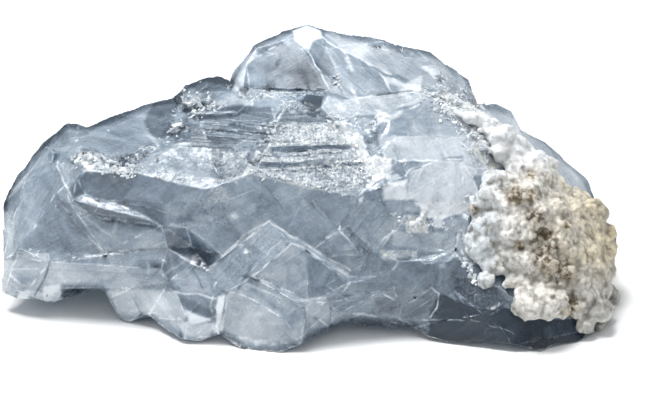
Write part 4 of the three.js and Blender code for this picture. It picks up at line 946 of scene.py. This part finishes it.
def crystal_material(look):
    """Clear to milky crystal, with wisps, cracks and flecks inside and frosted, combed or glassy faces. The
    tone it reads holds painted light and shade, and it paints glints on the frosted faces and highlights on
    the edges.
    """
    shader = Shader(bpy.data.materials.new("celestite_crystal"))
    place = shader.place()
    tone, frost, edge, core = (shader.attribute(name) for name in ("tone", "frost", "edge", "core"))
    comb, run = shader.attribute("comb"), shader.attribute("run")
    wisps = shader.turned(place, (20, -35, 40), (9.0, 2.0, 3.0))
    wisps = shader.cloud(wisps, 1.0, detail=6.0, roughness=0.6, distortion=0.8)
    patches = shader.cells(shader.turned(place, (35, 20, -30), (1.8, 0.9, 1.0)), 4.5, "Color")
    along_cracks = shader.turned(place, (60, 10, 25), (2.2, 1.0, 1.0))
    cracks = shader.cells(along_cracks, 5.0, feature="DISTANCE_TO_EDGE")
    cracks = cracks.rise(0.035, 0.0) * shader.cloud(place, 7.0).rise(0.5, 0.62)
    lines = (shader.streaks(run, 0.9) + shader.streaks(run, 0.3)) * 0.5
    # Painted glints: the frosted faces sparkle in cells painted lighter and darker
    glitter = shader.cells(place, 0.17, "Color").rise(0.35, 0.85)
    # Tiny white dots: partly inclusions, partly painted glints
    specks = shader.cells(place, 0.9).rise(0.14, 0.06)
    # The sharp edges are painted lighter: partly chipped white, partly painted highlights
    edge = edge * shader.cloud(place, 1.6).rise(0.42, 0.62)
    flecks = shader.cloud(place, 0.45, detail=4.0, roughness=0.7)
    shade = (tone - 0.05 + (wisps - 0.5) * 1.3 + (flecks - 0.5) * (frost * 1.2 + 0.7) + (patches - 0.5) * 0.3
             + cracks * 0.4 + edge * 1.0 + comb * (lines - 0.5) * 2.0 + frost * (glitter - 0.45) * 1.5
             + specks * 0.5)
    white = shader.mixed(frost.rise(0.0, 0.6), tuple(look.milk), tuple(look.sugar))
    colour = shader.mixed((shade * -1.0).clipped(), tuple(look.body), tuple(look.deep))
    colour = shader.mixed(shade.clipped(), colour, white)
    pits = shader.cloud(place, 0.8, detail=7.0, roughness=0.7)
    sugar = shader.facets(place, size=0.55, slope=0.9) + shader.cloud(place, 0.25) * 0.15
    planes = shader.turned(place, (15, 40, 10), (1.5, 0.8, 1.0))
    planes = shader.facets(planes, size=2.6, slope=0.16)
    height = planes * (frost + 0.1) + comb * lines * 0.3 + pits * 0.05 + frost * sugar * 0.4
    surface = {
        "Base Color": colour, "Roughness": 0.13 + frost * 0.35 + pits * 0.08 + core * 0.3,
        "IOR": CRYSTAL_IOR, "Normal": shader.bump(height),
    }
    clear = shader.add("ShaderNodeBsdfPrincipled", None, {**surface, "Transmission Weight": look.clearness})
    milky = shader.add("ShaderNodeBsdfPrincipled", None, {
        **surface, "Subsurface Weight": 0.8, "Subsurface Scale": 0.0012,
        "Subsurface Radius": (0.9, 0.95, 1.0),
    })
    milk = (0.62 + shade * 0.25 + core * 0.35).clipped()
    crystal = shader.add("ShaderNodeMixShader", None, {0: milk, 1: clear.outputs[0], 2: milky.outputs[0]})
    pale_blue = (0.72, 0.82, 0.92, 1.0)
    inside = shader.add("ShaderNodeVolumeAbsorption", None, {"Color": pale_blue, "Density": look.absorption})
    return shader.finish(crystal, inside)


def small_crystal_material(look):
    """Bright glassy crystal, some of it blue-grey."""
    shader = Shader(bpy.data.materials.new("small_crystals"))
    shade = shader.attribute("shade")
    frost = shader.cloud(shader.place(), 0.5, detail=5.0, roughness=0.65)
    blue_grey = (0.4, 0.5, 0.6)
    crystal = shader.add("ShaderNodeBsdfPrincipled", None, {
        "Base Color": shader.mixed(shade * 0.3 + frost * 0.15, tuple(look.colour), blue_grey),
        "Roughness": 0.1 + frost * 0.12, "IOR": CRYSTAL_IOR, "Normal": shader.bump(frost * 0.06),
        "Transmission Weight": 0.25,
    })
    return shader.finish(crystal)


def crust_material(look):
    """White sugary grains, bluish at the left, creamy at the right and stained brown in places, darkened by
    painted shade low down, at the right end and in the pits, and whiter at the head, partly as painted
    light.
    """
    bluish, clean_and_lit_white, grey = (0.84, 0.89, 0.92), (0.96, 0.98, 1.0), (0.36, 0.36, 0.34)
    grime_and_pit_shade_colour, dull_grain, tan = (0.21, 0.185, 0.14), (0.4, 0.39, 0.36), (0.5, 0.39, 0.23)
    shader = Shader(bpy.data.materials.new("sugary_crust"))
    place = shader.place()
    stain, cream, cold, head, shade, pit = (
        shader.attribute(name) for name in ("stain", "cream", "cold", "head", "shade", "pit")
    )
    dust = shader.cloud(place, 1.6, detail=6.0, roughness=0.7)
    grit = shader.cloud(place, 0.7, detail=4.0, roughness=0.7)
    grains = shader.cells(place, 0.45, "Color")
    creamy = (cream + (dust - 0.5) * 0.8 * cream).clipped()
    colour = shader.mixed(creamy, tuple(look.white), tuple(look.cream))
    colour = shader.mixed(cold, colour, bluish)
    # Whiter and less darkened at the head: partly its finer white sugar, partly painted light on its shaded
    # tongue
    colour = shader.mixed(head, colour, clean_and_lit_white)
    below_head = 1.0 - head * 0.7
    # Painted shade: greyer where the shade number is high
    colour = shader.mixed((shade * 0.75).clipped(), colour, grey)
    # Darker in the pits and in specks: partly grime, partly painted shade in the low places
    grime_and_pit_shade = (below_head * (grit.rise(0.5, 0.3) * 0.4 + pit * 0.55)).clipped()
    colour = shader.mixed(grime_and_pit_shade, colour, grime_and_pit_shade_colour)
    colour = shader.mixed(below_head * grains.rise(0.35, 0.0) * 0.4, colour, dull_grain)
    colour = shader.mixed((stain * dust.rise(0.36, 0.6) * 0.6).clipped(), colour, tan)
    stained = (stain * (grit.rise(0.46, 0.6) * 0.8 + pit * 0.9 + (grains - 0.5) * 0.6 - 0.1)).clipped()
    colour = shader.mixed(stained, colour, tuple(look.stain))
    sugar = shader.facets(place, size=0.5, slope=0.8)
    sugar += shader.cloud(place, 0.35, detail=5.0, roughness=0.7) * 0.4
    crust = shader.add("ShaderNodeBsdfPrincipled", None, {
        "Base Color": colour, "Roughness": 0.3 + dust * 0.2, "IOR": 1.6,
        "Normal": shader.bump(sugar * 0.55), "Transmission Weight": 0.1,
        "Subsurface Weight": 1.0, "Subsurface Scale": 0.0004, "Subsurface Radius": (1.0, 0.97, 0.9),
    })
    return shader.finish(crust)


def floor_material(look):
    """Pale matt paper."""
    shader = Shader(bpy.data.materials.new("studio_floor"))
    tooth = shader.cloud(shader.place(), 3.0)
    pale = tuple(look.floor)
    colour = shader.mixed(tooth, pale, tuple(0.985 * c for c in pale))
    matt = shader.add("ShaderNodeBsdfPrincipled", None, {"Base Color": colour, "Roughness": 0.8})
    return shader.finish(matt)


def sky_world(strength):
    """Pale surroundings that are bright overhead and dimmer towards the horizon."""
    horizon, overhead = (0.16, 0.19, 0.23), (0.95, 0.98, 1.0)
    shader = Shader(bpy.data.worlds.new("studio_sky"))
    where = shader.add("ShaderNodeTexCoord").outputs["Generated"]
    height = shader.add("ShaderNodeSeparateXYZ", None, {0: where}).outputs["Z"]
    colour = shader.mixed(height, horizon, overhead)
    background = shader.add("ShaderNodeBackground", None, {"Color": colour, "Strength": strength})
    return shader.finish(background, kind="ShaderNodeOutputWorld")


def shard(roll):
    """The corners of a broken piece about 1 mm across."""
    stretch = Vector((0.6 + 0.5 * roll.random(), 0.5 + 0.2 * roll.random(), 0.45))
    corners = []
    for _ in range(11):
        corner = Vector([roll.gauss(0, 1) for _ in range(3)]).normalized()
        corners.append(corner * stretch * (0.8 + 0.3 * roll.random()))
    return corners


def rounded_grain(roll, count=20):
    """The corners of a rounded blocky grain about 1 mm across."""
    stretch = Vector([0.42 + 0.2 * roll.random() for _ in range(3)])
    power = roll.uniform(2.2, 4.5)
    corners = []
    for i in range(count):
        height = 1 - (2 * i + 1) / count
        turn = i * math.pi * (3 - math.sqrt(5))
        ring = math.sqrt(1 - height * height)
        corner = Vector((ring * math.cos(turn), ring * math.sin(turn), height))
        reach = sum(abs(c) ** power for c in corner) ** (-1 / power)
        corners.append(corner * stretch * reach * (1 + roll.gauss(0, 0.06)))
    return corners


def sugar_grain(roll):
    """The corners of a fine grain."""
    return rounded_grain(roll, count=9)


def joined_blocks(placings, roll, shape, kinds=30):
    """One mesh of many small solids. A placing is (place in mm, axis to stand on, size in mm)."""
    shapes = []
    for _ in range(kinds):
        block = bmesh.new()
        for corner in shape(roll):
            block.verts.new(corner)
        hull = bmesh.ops.convex_hull(block, input=block.verts)
        loose = [v for v in hull["geom_interior"] + hull["geom_unused"] if isinstance(v, bmesh.types.BMVert)]
        bmesh.ops.delete(block, geom=list(set(loose)), context="VERTS")
        bmesh.ops.recalc_face_normals(block, faces=block.faces)
        block.verts.index_update()
        sides = [[v.index for v in face.verts] for face in block.faces]
        shapes.append((np.array([v.co for v in block.verts]), sides))
        block.free()
    points, faces, owners = [], [], []
    count = 0
    for owner, (place, axis, size) in enumerate(placings):
        corners, sides = shapes[roll.randrange(kinds)]
        spin = Matrix.Rotation(roll.uniform(0, 6.28), 3, "Z").to_quaternion()
        turn = Vector(axis).to_track_quat("Z", "Y") @ spin
        points.append(corners * size @ np.array(turn.to_matrix()).T + place)
        faces += [[i + count for i in side] for side in sides]
        owners += [owner] * len(corners)
        count += len(corners)
    return np.concatenate(points), faces, np.array(owners)


def kept_in_box(points, owners, margin_mm=0.02):
    """Moves each block back into the solids' box where it would stand out of it."""
    low, high = BOX_MM[0] + margin_mm, BOX_MM[1] - margin_mm
    count = owners.max() + 1
    lowest = np.full((count, 3), np.inf)
    highest = np.full((count, 3), -np.inf)
    np.minimum.at(lowest, owners, points)
    np.maximum.at(highest, owners, points)
    move = np.maximum(low - lowest, 0) - np.maximum(highest - high, 0)
    return points + move[owners]


def mesh_from(name, points, faces):
    """A new mesh from its points in mm and its faces."""
    mesh = bpy.data.meshes.new(name)
    mesh.from_pydata([tuple(p * MM) for p in points], [], faces)
    mesh.validate()
    return mesh


def mesh_points(mesh):
    """The points of a mesh, in metres."""
    points = np.empty(3 * len(mesh.vertices), np.float32)
    mesh.vertices.foreach_get("co", points)
    return points.reshape(-1, 3).astype(float)


def one_skin(mesh, voxel):
    """A new mesh that is the outer skin of all the solids of a mesh, with cells of the given size."""
    scratch = bpy.data.objects.new("scratch", mesh)
    bpy.context.scene.collection.objects.link(scratch)
    skin = scratch.modifiers.new("skin", "REMESH")
    skin.mode = "VOXEL"
    skin.voxel_size = voxel
    evaluated = scratch.evaluated_get(bpy.context.evaluated_depsgraph_get())
    result = bpy.data.meshes.new_from_object(evaluated)
    result.name = mesh.name
    bpy.data.objects.remove(scratch)
    bpy.data.meshes.remove(mesh)
    return result


def surface_tree(node):
    """A tree for casting rays at a CAD node, in metres."""
    surface = bmesh.new()
    surface.from_mesh(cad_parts[node].data)
    tree = BVHTree.FromBMesh(surface)
    surface.free()
    return tree


def spots_on_display(roll, tree, row, stray, count, sizes):
    """Places for small crystals along a row on the display side: (place in mm, axis, size in mm) each."""
    ends = np.array(row, float)
    lengths = np.hypot(*np.diff(ends, axis=0).T)
    spots = []
    in_front = 60
    for _ in range(count):
        leg = roll.choices(range(len(lengths)), weights=lengths)[0]
        across, up = ends[leg] + roll.random() * (ends[leg + 1] - ends[leg])
        start = in_frame(across + roll.gauss(0, stray), up + roll.gauss(0, stray), in_front)
        hit, normal, _, _ = tree.ray_cast(Vector(start * MM), Vector(-OUT))
        if hit is None:
            continue
        size = sizes[0] + (sizes[1] - sizes[0]) * roll.random() ** 2.2
        axis = normal + 0.7 * Vector([roll.gauss(0, 1) for _ in range(3)])
        spots.append((np.array(hit) / MM - 0.3 * size * np.array(normal), axis, size))
    return spots


class CELESTITE_OT_crystals(bpy.types.Operator):
    """Builds the crystals that are grown together into one mass"""

    bl_idname = "celestite.crystals"
    bl_label = "Crystals"

    def execute(self, context):
        look = context.scene.celestite_crystals
        surface = fine_mesh(CRYSTALS_NODE, look.fine, look.coarse, look.edge)
        edge = soften_edges(surface, share=0.4)
        points = np.array([v.co for v in surface.verts]) / MM
        normals = np.array([v.normal for v in surface.verts])
        tone, frost, comb, run = finish_of_facets(points, normals)
        moved = points + normals * relief_of_crystals(points, frost, comb, run, edge)[:, None]
        for vertex, place in zip(surface.verts, np.clip(moved, *BOX_MM) * MM):
            vertex.co = place
        mesh = bpy.data.meshes.new("crystals")
        surface.to_mesh(mesh)
        surface.free()
        finish = {
            "tone": tone, "frost": frost, "comb": comb, "run": run, "edge": edge, "core": milky_core(points)
        }
        for name, values in finish.items():
            add_numbers(mesh, name, values)
        smoothed(mesh, sharp_angle=math.radians(24))
        add_piece("crystals", mesh, crystal_material(look), [CRYSTALS_NODE])
        return {"FINISHED"}


class CELESTITE_OT_small_crystals(bpy.types.Operator):
    """Grows small sparkling crystals in the seams of the display side"""

    bl_idname = "celestite.small_crystals"
    bl_label = "Small crystals"

    def execute(self, context):
        look = context.scene.celestite_small_crystals
        roll = random.Random(21)
        tree = surface_tree(CRYSTALS_NODE)
        spots = []
        for _, row, stray, count, sizes in SPARKLES:
            spots += spots_on_display(roll, tree, row, stray, count, sizes)
        points, faces, owners = joined_blocks(spots, roll, shard)
        mesh = mesh_from("small_crystals", kept_in_box(points, owners), faces)
        shade = np.array([roll.random() for _ in spots])
        add_numbers(mesh, "shade", shade[owners])
        add_piece("small_crystals", mesh, small_crystal_material(look))
        return {"FINISHED"}


class CELESTITE_OT_crust(bpy.types.Operator):
    """Covers the right end with a crust of sugary grains"""

    bl_idname = "celestite.crust"
    bl_label = "Crust"

    def execute(self, context):
        look = context.scene.celestite_crust
        mesh = one_skin(self.fused_grains(look), look.skin)
        points = mesh_points(mesh) / MM
        normals = np.array([v.normal for v in mesh.vertices])
        coarse = self.coarseness(on_display(points))
        sugar = 0.13 * pebbles(points, size=0.8, seed=8.3)
        sugar += (0.06 + 0.16 * coarse) * pebbles(points, size=1.7, seed=6.7)
        points = np.clip(points + normals * (sugar - 0.1)[:, None], *BOX_MM)
        mesh.vertices.foreach_set("co", (points * MM).ravel())
        # pit is high in the low places between the bumps, where the shader paints shade and the stain
        # gathers
        add_numbers(mesh, "pit", np.clip(0.8 - 7 * sugar, 0, 1))
        for name, values in self.finish(points, normals).items():
            add_numbers(mesh, name, values)
        smoothed(mesh, sharp_angle=math.radians(35))
        add_piece("crust", mesh, crust_material(look), [CRUST_NODE])
        return {"FINISHED"}

    def fused_grains(self, look):
        """A mesh of the bed, the coarse grains and the fine ones, which still cross each other."""
        roll = random.Random(8)
        bed = self.bed()
        layers = [bed]
        for count, largest, power, shape in (
            (look.grains, look.largest, 1.9, rounded_grain),
            (2 * look.grains, look.largest / 2.5, 1.2, sugar_grain),
        ):
            spots = self.grain_places(look, roll, bed, count, largest, power)
            points, faces, owners = joined_blocks(spots, roll, shape)
            layers.append((kept_in_box(points, owners), faces))
        starts = np.cumsum([0] + [len(points) for points, _ in layers])
        points = np.concatenate([points for points, _ in layers])
        faces = [[i + start for i in face] for (_, sides), start in zip(layers, starts) for face in sides]
        return mesh_from("crust", points, faces)

    def finish(self, points, normals):
        """The numbers that colour the crust, each from 0 to 1."""
        display = on_display(points)
        across, up = display[:, 0], display[:, 1]
        # head marks the top of the crust, which the shader keeps whiter: partly its finer white sugar,
        # partly painted light
        head = ramp(up, 15, 4)
        right_end = ramp(across, 38, 3)
        # Painted shade: the shade number rises low down, at the foot of the right end and where the right
        # end turns away from the viewer, over the grains' own random grey
        low_down = np.maximum(0.4 * np.clip((-0.5 - up) / 4, 0, 1), right_end * np.clip((1 - up) / 4, 0, 1))
        turning = 0.5 * np.clip(1 - np.abs(normals @ OUT - 0.1) / 0.4, 0, 1) * right_end
        shade = 0.1 + 0.55 * low_down + turning + (0.8 - 0.6 * head) * noise_at(points, size=1.8, seed=4.4)
        return {
            "stain": self.stained(display),
            "cream": ramp(across, 33, 12) * ramp(up, -2, 6),
            "shade": np.clip(shade, 0, 1),
            "cold": np.clip((31 - across) / 6, 0, 1),
            "head": head,
        }

    def bed(self):
        """The crust's own surface, lumpy and pitted, which closes it under the grains."""
        surface = fine_mesh(CRUST_NODE, on_show=0.0008, hidden=0.0012)
        for _ in range(8):
            bmesh.ops.smooth_vert(
                surface, verts=surface.verts, factor=0.5, use_axis_x=True, use_axis_y=True, use_axis_z=True
            )
        surface.normal_update()
        points = np.array([v.co for v in surface.verts]) / MM
        normals = np.array([v.normal for v in surface.verts])
        surface.verts.index_update()
        faces = [[v.index for v in face.verts] for face in surface.faces]
        surface.free()
        depth = -0.15 + 0.35 * noise_at(points, size=2.6, seed=2.7)
        depth += broken_facets(points, size=1.5, slope=0.15, seed=3.3)
        return points - normals * depth[:, None], faces

    def grain_places(self, look, roll, bed, count, largest, power):
        """Grains all over the crust's bed, each sunk into it by part of its size."""
        corners, faces = bed
        triangles = corners[np.array(faces)]
        across = np.cross(triangles[:, 1] - triangles[:, 0], triangles[:, 2] - triangles[:, 0])
        areas = np.linalg.norm(across, axis=1)
        picks = roll.choices(range(len(areas)), weights=areas, k=count)
        spots = []
        for pick in picks:
            a, b, c = triangles[pick]
            p, q = sorted((roll.random(), roll.random()))
            place = a * p + b * (q - p) + c * (1 - q)
            coarse = 0.3 + 0.7 * self.coarseness(on_display(place[None]))[0]
            size = (look.smallest + (coarse * largest - look.smallest) * roll.random() ** power) / MM
            normal = across[pick] / areas[pick]
            axis = Vector([roll.gauss(0, 1) for _ in range(3)])
            spots.append((place - 0.3 * size * normal, axis, size))
        return spots

    def coarseness(self, display):
        """From 0 where the grains are fine, at the head and the right end, to 1 where they are coarse."""
        across, up = display[:, 0], display[:, 1]
        coarse = np.maximum((31 - across) / 6, (-1 - up) / 3)
        return np.clip(np.minimum(coarse, (17 - up) / 3), 0, 1)

    def stained(self, display):
        """How brown each place is: the stain gathers in patches."""
        stain = np.zeros(len(display))
        for middle, reach in STAINS:
            stain = np.maximum(stain, np.clip(1.6 - away_from(display, middle, (reach, reach)), 0, 1))
        return stain


class CELESTITE_OT_studio(bpy.types.Operator):
    """Sets the pale floor, the soft light and the camera at the photograph's angle"""

    bl_idname = "celestite.studio"
    bl_label = "Studio"

    def execute(self, context):
        look = context.scene.celestite_studio
        self.add_camera(context, look)
        self.add_floor(look)
        self.add_light("key_light", look.key, size=0.4, place=(-0.2, 0.12, 0.85))
        self.add_light("fill_light", look.fill, size=0.8, place=(-0.35, -0.75, 0.35))
        context.scene.world = sky_world(look.sky)
        context.scene.view_settings.view_transform = "Standard"
        return {"FINISHED"}

    def add_camera(self, context, look):
        """The camera, which looks straight at the display face from where the photograph's width fits."""
        data = bpy.data.cameras.new("camera")
        data.lens = look.lens
        data.sensor_width = 36.0
        distance = PICTURE_WIDTH * PIXEL_MM * data.lens / data.sensor_width
        across, up, out = PICTURE_MIDDLE
        data.clip_start, data.clip_end = 0.01, 20.0
        camera = bpy.data.objects.new("camera", data)
        camera.location = in_frame(across, up, out + distance) * MM
        camera.rotation_mode = "QUATERNION"
        camera.rotation_quaternion = Vector(-OUT).to_track_quat("-Z", "Y")
        context.scene.collection.objects.link(camera)
        context.scene.camera = camera

    def add_floor(self, look):
        """The floor, as the stage on which the specimen lies."""
        reach = 3.0
        corners = [(-reach, -reach, 0.0), (reach, -reach, 0.0), (reach, reach, 0.0), (-reach, reach, 0.0)]
        mesh = bpy.data.meshes.new("floor")
        mesh.from_pydata(corners, [], [(0, 1, 2, 3)])
        mesh.materials.append(floor_material(look))
        floor = bpy.data.objects.new("floor", mesh)
        bpy.context.scene.collection.objects.link(floor)

    def add_light(self, name, power, size, place):
        """A square light that is aimed at the specimen."""
        data = bpy.data.lights.new(name, "AREA")
        data.energy = power
        data.size = size
        light = bpy.data.objects.new(name, data)
        light.location = place
        aim = Vector(in_frame(0, 12, 8) * MM) - light.location
        light.rotation_mode = "QUATERNION"
        light.rotation_quaternion = aim.to_track_quat("-Z", "Y")
        bpy.context.scene.collection.objects.link(light)


class CELESTITE_PT_panel(bpy.types.Panel):
    """Lists the pieces of the specimen and their settings"""

    bl_idname = "CELESTITE_PT_panel"
    bl_label = "Celestite"
    bl_space_type = "VIEW_3D"
    bl_region_type = "UI"
    bl_category = "Celestite"

    def draw(self, context):
        for name, _, operator in SETTINGS:
            box = self.layout.box()
            box.operator(operator.bl_idname)
            settings = getattr(context.scene, name)
            for key in settings.__annotations__:
                box.prop(settings, key)


SETTINGS = (
    ("celestite_studio", StudioLook, CELESTITE_OT_studio),
    ("celestite_crystals", CrystalLook, CELESTITE_OT_crystals),
    ("celestite_small_crystals", SmallCrystalLook, CELESTITE_OT_small_crystals),
    ("celestite_crust", CrustLook, CELESTITE_OT_crust),
)


def register():
    """Makes the settings, the operators and the panel known to Blender."""
    for name, look, operator in SETTINGS:
        bpy.utils.register_class(look)
        bpy.utils.register_class(operator)
        setattr(bpy.types.Scene, name, PointerProperty(type=look))
    bpy.utils.register_class(CELESTITE_PT_panel)


def unregister():
    """Takes them out again, in the reverse order."""
    bpy.utils.unregister_class(CELESTITE_PT_panel)
    for name, look, operator in reversed(SETTINGS):
        delattr(bpy.types.Scene, name)
        bpy.utils.unregister_class(operator)
        bpy.utils.unregister_class(look)


def main():
    """Builds the studio and the specimen."""
    register()
    bpy.ops.celestite.studio()
    bpy.ops.celestite.crystals()
    bpy.ops.celestite.small_crystals()
    bpy.ops.celestite.crust()


if __name__ == "__main__":
    main()
